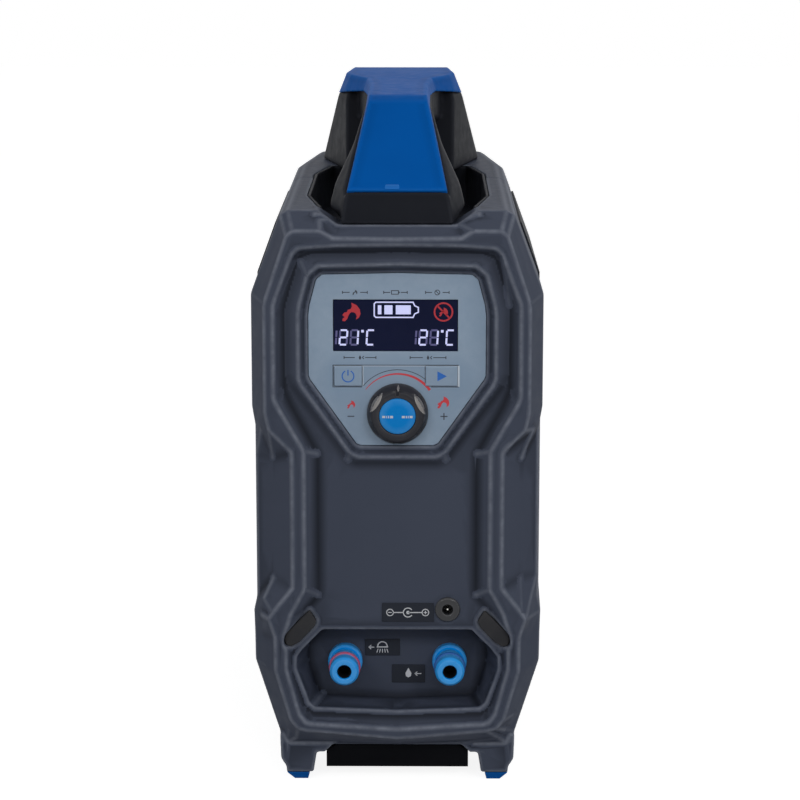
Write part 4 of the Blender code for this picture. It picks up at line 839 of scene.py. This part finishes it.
display = {"flame": (-28.2, 301.9, 11.6), "ring": (28.4, 302.0, 5.5), "ringFlame": 5.6,
           "battery": (-14.0, 13.0, 298.6, 308.0), "bars": ((2.2, 4.4), (6.2, 11.2), (13.2, 22.4)),
           "digits": ((-37.6, 281.6), (11.3, 281.6)), "digitHigh": 9.0, "digitWide": 4.4}
x0, x1, z0, z1 = display["battery"]
tip = x1 - 3.2
cell = [(x0, z0 + 1), (x0 + 1, z0), (tip, z0), (tip + 1, z0 + 2.2), (x1, z0 + 3.2), (x1, z1 - 3.2),
        (tip + 1, z1 - 2.2), (tip, z1), (x0 + 1, z1), (x0, z1 - 1)]
litShapes = strokeShape(cell, 0.8, closed=True)
for start, end in display["bars"]:
    litShapes += rectShape(x0 + start, x0 + end, z0 + 1.9, z1 - 1.9)
dimShapes = []
wide, high = display["digitWide"], display["digitHigh"]
for left, low in display["digits"]:
    for shift, segments in ((-4.4, "bc"), (2.2, "fc"), (8.9, "adefg")):
        dimShapes += digitShape(left + shift, low, wide, high, segments)
    for shift, segments in ((2.2, "abged"), (8.9, "bc")):
        litShapes += digitShape(left + shift, low, wide, high, segments)
    litShapes += rectShape(left + 15.6, left + 17.2, low + high - 1.4, low + high + 0.2)
    litShapes += digitShape(left + 18.8, low, wide, high, "adef")
cx, cz, radius = display["ring"]
slope = radius * 0.68
redShapes = flameShape(*display["flame"]) + ringShape(cx, cz, radius, 1.0, 36)
redShapes += strokes(1.0, [(cx - slope, cz + slope), (cx + slope, cz - slope)])
redShapes += flameShape(cx, cz, display["ringFlame"])
marks("displaySegments", litShapes, "display_window", "litSegment", "display_plastic", 0.05)
marks("displayDimSegments", dimShapes, "display_window", "dimSegment", "display_plastic")
marks("displayRedIcons", redShapes, "display_window", "litRed", "display_plastic", 0.05)

# plain symbols between short lines stand where the panel has words: flame, cell and crossed ring
# above the window, drops with arrows below it
captions = {"top": 314.1, "low": 273.6, "flameHigh": 3.2, "line": 0.55, "tick": 0.9, "gap": 3.2,
            "upper": ((-25.8, 7.6), (-1.0, 7.2), (24.6, 7.2)), "lower": ((-22.8, 9.8), (19.0, 11.0))}
topZ, lowZ, gap, tick = (captions[k] for k in ("top", "low", "gap", "tick"))
inkShapes = []
for z, row in ((topZ, captions["upper"]), (lowZ, captions["lower"])):
    for centre, reach in row:
        for sign in (-1, 1):
            end = centre + sign * reach
            inkShapes += strokes(captions["line"], [(centre + sign * gap, z), (end, z)],
                                 [(end, z - tick), (end, z + tick)])
flameX, cellX, ringX = (centre for centre, reach in captions["upper"])
inkShapes += flameShape(flameX, topZ, captions["flameHigh"])
left, right, low, high = cellX - 2.4, cellX + 1.8, topZ - 1.1, topZ + 1.1
inkShapes += strokeShape([(left, low), (right, low), (right, high), (left, high)], 0.5, closed=True)
inkShapes += rectShape(cellX + 1.9, cellX + 2.6, topZ - 0.5, topZ + 0.5)
inkShapes += ringShape(ringX, topZ, 1.5) + strokes(0.5, [(ringX - 1, topZ + 1), (ringX + 1, topZ - 1)])
for (centre, reach), sign in zip(captions["lower"], (-1, 1)):
    inkShapes += [[(centre, lowZ + 1.5), (centre + 0.8, lowZ), (centre + 0.6, lowZ - 0.9),
                   (centre, lowZ - 1.3), (centre - 0.6, lowZ - 0.9), (centre - 0.8, lowZ)]]
    inkShapes += strokes(0.5, [(centre + 1.4, lowZ), (centre + 2.4, lowZ + sign * 0.9)],
                         [(centre + 1.4, lowZ), (centre + 2.4, lowZ - sign * 0.9)])

# the frame of the button strip, the arcs over the knob, and minus and plus beside it
strip = {"left": -39.5, "right": 38.0, "low": 255.2, "high": 268.9, "line": 0.45}
knobX, knobZ, arcRadius, redRadius = 0.3, 238.8, 27.2, 24.6
left, right, low, high, line = (strip[k] for k in ("left", "right", "low", "high", "line"))
inkShapes += strokes(line, [(left + 17.9, low), (left, low), (left, high), (right, high)],
                     [(knobX + 20.6, low), (right, low)], arcPoints(knobX, knobZ, arcRadius, 38, 141))
inkShapes += rectShape(-30.6, -26.4, 236.4, 237.1)
inkShapes += rectShape(26.7, 31.1, 236.4, 237.1) + rectShape(28.55, 29.25, 234.6, 238.9)
redPrint = strokeShape(arcPoints(knobX, knobZ, redRadius, 143, 36), 1.0, ends=(0.35, 1.7))
redPrint += flameShape(-28.4, 244.2, 5.2) + flameShape(28.4, 245.6, 7.6)
# painted highlights: pale lines on the raised edges of the buttons and along the strip's top
buttonHighlightShapes = strokes(1.1, [(right - 0.1, low + 0.2), (right - 0.1, high - 0.4)])
buttonHighlightShapes += strokes(0.4, [(left + 18.6, low + 0.4), (left + 18.6, high - 0.6)])
buttonHighlightShapes += strokes(0.3, [(left + 0.6, high - 0.6), (right - 0.8, high - 0.6)])
marks("panelDarkMarks", inkShapes, "control_panel", "darkInk", "panel_plastic")
marks("panelRedMarks", redPrint, "control_panel", "redInk", "panel_plastic")
marks("panelButtonHighlights", buttonHighlightShapes, "control_panel", "buttonEdgeHighlight", "panel_plastic")

# middles of the symbols on the buttons and label plates
middles = {"power": (-30.2, 262.1), "start": (27.4, 262.1), "jack": (6.8, 112.9),
           "outlet": (-9.5, 83.4), "inlet": (7.0, 66.0)}
cx, cz = middles["power"]
powerShapes = strokes(0.75, arcPoints(cx, cz, 3.6, 118, 422, 24), [(cx, cz + 0.4), (cx, cz + 3.9)])
marks("powerSymbol", powerShapes, "power_button", "blueInk", "panel_plastic")
cx, cz = middles["start"]
startShapes = [[(cx - 2.6, cz - 3.1), (cx - 2.6, cz + 3.1), (cx + 3.2, cz)]]
marks("startSymbol", startShapes, "start_button", "blueInk", "panel_plastic")

# label plates: a centre-positive jack symbol, a shower spray with an arrow out, a drop with one in
cx, cz = middles["jack"]
plateShapes = strokes(0.6, arcPoints(cx, cz, 2.9, 35, 325, 24)) + [circlePoints(cx, cz, 1.1, 20)]
plateShapes += strokes(0.6, [(cx - 9.0, cz), (cx - 2.9, cz)], [(cx, cz), (cx + 8.6, cz)])
minusX, plusX = cx - 11.2, cx + 10.9
for signX in (minusX, plusX):
    plateShapes += ringShape(signX, cz, 2.1) + strokes(0.5, [(signX - 1.1, cz), (signX + 1.1, cz)])
plateShapes += strokes(0.5, *[[(plusX, cz + sign * 0.27), (plusX, cz + sign * 1.1)] for sign in (-1, 1)])
marks("jackPlateMarks", plateShapes, "jack_label_plate", "whiteInk", "label_film")


def arrowShape(x, z, length):
    # points to the left, with its tip at x
    return strokes(0.6, [(x, z), (x + length, z)], [(x + 1.4, z + 1.3), (x, z), (x + 1.4, z - 1.3)])


cx, cz = middles["outlet"]
sprayShapes = strokes(0.7, arcPoints(cx, cz + 0.6, 3.0, 0, 180, 14))
sprayShapes += rectShape(cx - 3.6, cx + 3.6, cz - 0.2, cz + 0.5)
for k in range(-2, 3):
    sprayShapes += strokes(0.5, [(cx + k * 1.4, cz - 1.1), (cx + k * 1.8, cz - 3.6)])
sprayShapes += arrowShape(cx - 8.6, cz, 3.4)
marks("outletPlateMarks", sprayShapes, "outlet_label_plate", "whiteInk", "label_film")
cx, cz = middles["inlet"]
tapShapes = [[(cx, cz + 3.8), (cx + 1.9, cz + 0.4), (cx + 1.6, cz - 1.6), (cx, cz - 2.6),
              (cx - 1.6, cz - 1.6), (cx - 1.9, cz + 0.4)]] + arrowShape(cx + 4.2, cz, 4.0)
marks("inletPlateMarks", tapShapes, "inlet_label_plate", "whiteInk", "label_film")


# Small details: patches that follow a face, carrying painted highlights, and turned sleeves that carry
# painted shade

def detail(name, bm, finish, body, slotName):
    bmesh.ops.recalc_face_normals(bm, faces=bm.faces)
    mesh = meshOf(name, bm, finish)
    mesh.shade_smooth()
    mesh.set_sharp_from_angle(angle=math.radians(40))
    markEdges(mesh)
    return place(newObject(name, mesh), body, slotName)


def draped(name, nodeName, middle, rim, lift, finish, slotName, rings=6, thick=0.5):
    # a thin patch that follows the face below it: rings of points dropped on the node
    hull, ahead = faceOf(nodeName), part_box(nodeName)[0].y - 0.01
    bm = bmesh.new()
    layers = []
    for side in (0.0, thick * mm):
        rows = []
        for k in range(rings):
            share = 1 - k / rings
            swell = lift * mm * (1 - 0.75 * share ** 6)
            spots = [[(m + (c - m) * share) * mm for c, m in zip(spot, middle)] for spot in rim]
            rows.append([bm.verts.new((x, dropped(hull, ahead, x, z) - swell + side, z))
                         for x, z in spots])
        x, z = middle[0] * mm, middle[1] * mm
        centre = bm.verts.new((x, dropped(hull, ahead, x, z) - lift * mm + side, z))
        layers.append(rows)
        for outer, inner in zip(rows, rows[1:] + [[centre] * len(rim)]):
            for k in range(len(rim)):
                n = (k + 1) % len(rim)
                corners = (outer[k], outer[n], inner[n], inner[k])
                bm.faces.new(corners if inner[n] != inner[k] else corners[:3])
    walled(bm, layers[0][0], layers[1][0])
    return detail(name, bm, finish, bodyOf(nodeName), slotName)


def turned(name, profile, centre, finish, body, slotName, sides=40):
    # a closed ring swept from (radius, y) points round an axis along y
    bm = bmesh.new()
    rows = []
    for k in range(sides):
        angle = 2 * math.pi * k / sides
        rows.append([bm.verts.new(((centre[0] + r * math.cos(angle)) * mm, y * mm,
                                   (centre[1] + r * math.sin(angle)) * mm)) for r, y in profile])
    for one, two in zip(rows, rows[1:] + rows[:1]):
        walled(bm, two, one)
    return detail(name, bm, finish, body, slotName)


def lensRim(towards, radius, length, wide, steps):
    # two shallow arcs that meet in points, across the direction given
    angle = math.radians(towards)
    out, along = Vector((math.cos(angle), math.sin(angle))), Vector((-math.sin(angle), math.cos(angle)))
    middle = Vector((knobX, knobZ)) + out * radius
    rim = []
    for sign in (-1, 1):
        for k in range(steps):
            t = sign * (1 - 2 * k / steps)
            rim.append(tuple(middle + along * (t * length / 2) - out * (sign * wide / 2 * (1 - t * t))))
    return tuple(middle), rim


# painted highlights in the finger hollows and on the pointer of the knob: towards (degrees), radius,
# length, width, steps, rings
knobHighlights = {"knobHollowHighlightUpperLeft": (148.0, 15.4, 14.6, 3.3, 14, 6),
          "knobHollowHighlightUpperRight": (28.0, 15.4, 14.6, 3.3, 14, 6),
          "knobPointerHighlight": (88.5, 17.0, 1.5, 3.0, 6, 3)}
for name, (*lens, rings) in knobHighlights.items():
    middle, rim = lensRim(*lens)
    draped(name, "knob_body", middle, rim, 0.16, "knobHighlightGrey", "knob_plastic", rings)
# clip at the foot of the cover, in a lighter blue as a painted highlight
rim = [(-7.0, 377.4), (1.0, 377.4), (1.3, 377.7), (1.3, 379.3), (0.9, 379.8), (-6.9, 379.8),
       (-7.3, 379.3), (-7.3, 377.7)]
draped("coverClip", "handle_cover", (-3.0, 378.6), rim, 0.4, "clipHighlightBlue", "blue_plastic", 3)
# dull black sleeves in the hose bores, painted shade deep inside them, with a soft lip at the mouth and a
# step at the end
boreShade = {"x": 33.0, "z": 75.5, "radius": 4.36, "wall": 0.5, "mouth": 1.6, "deep": 17.0}
outer, inner = boreShade["radius"], boreShade["radius"] - boreShade["wall"]
for side, sign in (("outlet", -1), ("inlet", 1)):
    front = frontOf(side + "_connector")
    start, end = front + boreShade["mouth"], front + boreShade["deep"]
    profile = [(outer, start + 0.4), (outer - 0.15, start), (inner + 0.1, start), (inner, start + 0.5),
               (inner, end - 1.2), (inner - 1.4, end - 0.6), (inner - 1.4, end), (outer, end)]
    turned(side + "BoreShade", profile, (sign * boreShade["x"], boreShade["z"]), "boreShadeBlack", "case",
           "connector_plastic")
# plain dashes across the knob's disc
dashes = []
for k in (-3.5, -2.5, -1.5, 1.5, 2.5, 3.5):
    middle = knobX + 2.4 * k
    dashes += rectShape(middle - 0.9, middle + 0.9, knobZ - 0.9, knobZ + 0.5)
marks("knobDashes", dashes, "knob_cap", "whiteInk", "blue_gloss", 0.02, hull=faceOf("knob_cap"))
print("marks printed")


# Stage, light and camera

stage = {"floorTone": 0.42, "floorGlow": 0.88, "floorReach": 6.0, "floorDrop": 0.0002, "world": 0.22}


def seenRays(tree):
    # 1 for what the camera sees, straight, in a gloss or through a clear piece
    rays = addNode(tree, "ShaderNodeLightPath").outputs
    glint = maths(tree, "MAXIMUM", rays["Is Glossy Ray"], rays["Is Transmission Ray"])
    return maths(tree, "MAXIMUM", rays["Is Camera Ray"], glint)


def glowing(tree, kind, tone, strength):
    return addNode(tree, kind, None, {"Color": (tone, tone, tone, 1), "Strength": strength}).outputs[0]


def floorMaterial():
    # white paper: it takes the object's shadow, and glows only for what is seen
    material, tree, shader = newMaterial("paperFloor")
    tone = stage["floorTone"]
    shader.inputs["Base Color"].default_value = (tone, tone, tone, 1)
    shader.inputs["Roughness"].default_value = 0.9
    shader.inputs["Specular IOR Level"].default_value = 0.1
    pick = addNode(tree, "ShaderNodeMixShader", None, {
        0: seenRays(tree), 1: glowing(tree, "ShaderNodeEmission", 0, 0.0),
        2: glowing(tree, "ShaderNodeEmission", 1, stage["floorGlow"])})
    both = addNode(tree, "ShaderNodeAddShader", None, {0: shader.outputs[0], 1: pick.outputs[0]})
    output = next(n for n in tree.nodes if n.bl_idname == "ShaderNodeOutputMaterial")
    tree.links.new(both.outputs[0], output.inputs["Surface"])
    return material


def addFloor():
    mesh = bpy.data.meshes.new("floor")
    reach = stage["floorReach"]
    corners = [(-reach, -reach, 0), (reach, -reach, 0), (reach, reach, 0), (-reach, reach, 0)]
    mesh.from_pydata(corners, [], [(0, 1, 2, 3)])
    mesh.materials.append(floorMaterial())
    floor = newObject("floor", mesh)
    floor.location.z = -stage["floorDrop"]


def addWorld():
    world = bpy.data.worlds.new("studio")
    bpy.context.scene.world = world
    world.use_nodes = True
    tree = world.node_tree
    tree.nodes.clear()
    mix = addNode(tree, "ShaderNodeMixShader", None, {
        0: seenRays(tree), 1: glowing(tree, "ShaderNodeBackground", 1, stage["world"]),
        2: glowing(tree, "ShaderNodeBackground", 1, 1.0)})
    addNode(tree, "ShaderNodeOutputWorld", None, {"Surface": mix.outputs[0]})


def addLamp(name, spot, target, size, watts):
    lamp = bpy.data.lights.new(name, "AREA")
    lamp.shape = "RECTANGLE"
    lamp.size, lamp.size_y = size
    lamp.energy = watts
    holder = newObject(name, lamp)
    holder.location = spot
    holder.rotation_euler = (Vector(target) - Vector(spot)).to_track_quat("-Z", "Y").to_euler()


# spot, target and size in metres, and watts
lamps = {
    "topFront": ((0.0, -1.2, 1.5), (0, 0, 0.2), (1.4, 0.8), 2.0),
    "topRight": ((1.1, -0.3, 1.2), (0, 0, 0.2), (0.9, 0.9), 1.8),
    "topLeft": ((-1.1, -0.3, 1.2), (0, 0, 0.2), (0.9, 0.9), 1.0),
    "sideLeft": ((-1.4, -0.2, 0.5), (0, 0, 0.25), (1.0, 1.0), 0.3),
    "sideRight": ((1.4, -0.2, 0.5), (0, 0, 0.25), (1.0, 1.0), 0.5),
    "edgeLeft": ((-1.0, -0.8, 0.5), (0, 0, 0.22), (0.15, 0.9), 0.3),
    "edgeRight": ((1.0, -0.8, 0.5), (0, 0, 0.22), (0.15, 0.9), 0.8),
    "keyLeft": ((-0.8, -1.6, 1.0), (0, 0, 0.22), (0.4, 0.4), 3.4),
    "keyRight": ((0.8, -1.6, 1.0), (0, 0, 0.22), (0.4, 0.4), 4.8),
    "frontHigh": ((0.0, -2.2, 1.2), (0, 0, 0.25), (1.2, 0.8), 4.4),
}
addFloor()
addWorld()
for name, row in lamps.items():
    addLamp(name, *row)

# the photograph's view, its spot in metres
view = {"spot": (0.015, -1.790, 0.569), "tilt": 78.7, "turn": 0.47, "lens": 120.0, "sensor": 36.0}
camera = bpy.data.cameras.new("photoView")
camera.sensor_width = view["sensor"]
camera.lens = view["lens"]
camera.clip_start, camera.clip_end = 0.01, 50.0
holder = newObject("photoView", camera)
holder.location = view["spot"]
holder.rotation_euler = (math.radians(view["tilt"]), 0, math.radians(view["turn"]))
bpy.context.scene.camera = holder
bpy.context.scene.view_settings.view_transform = "Standard"
print("stage set")
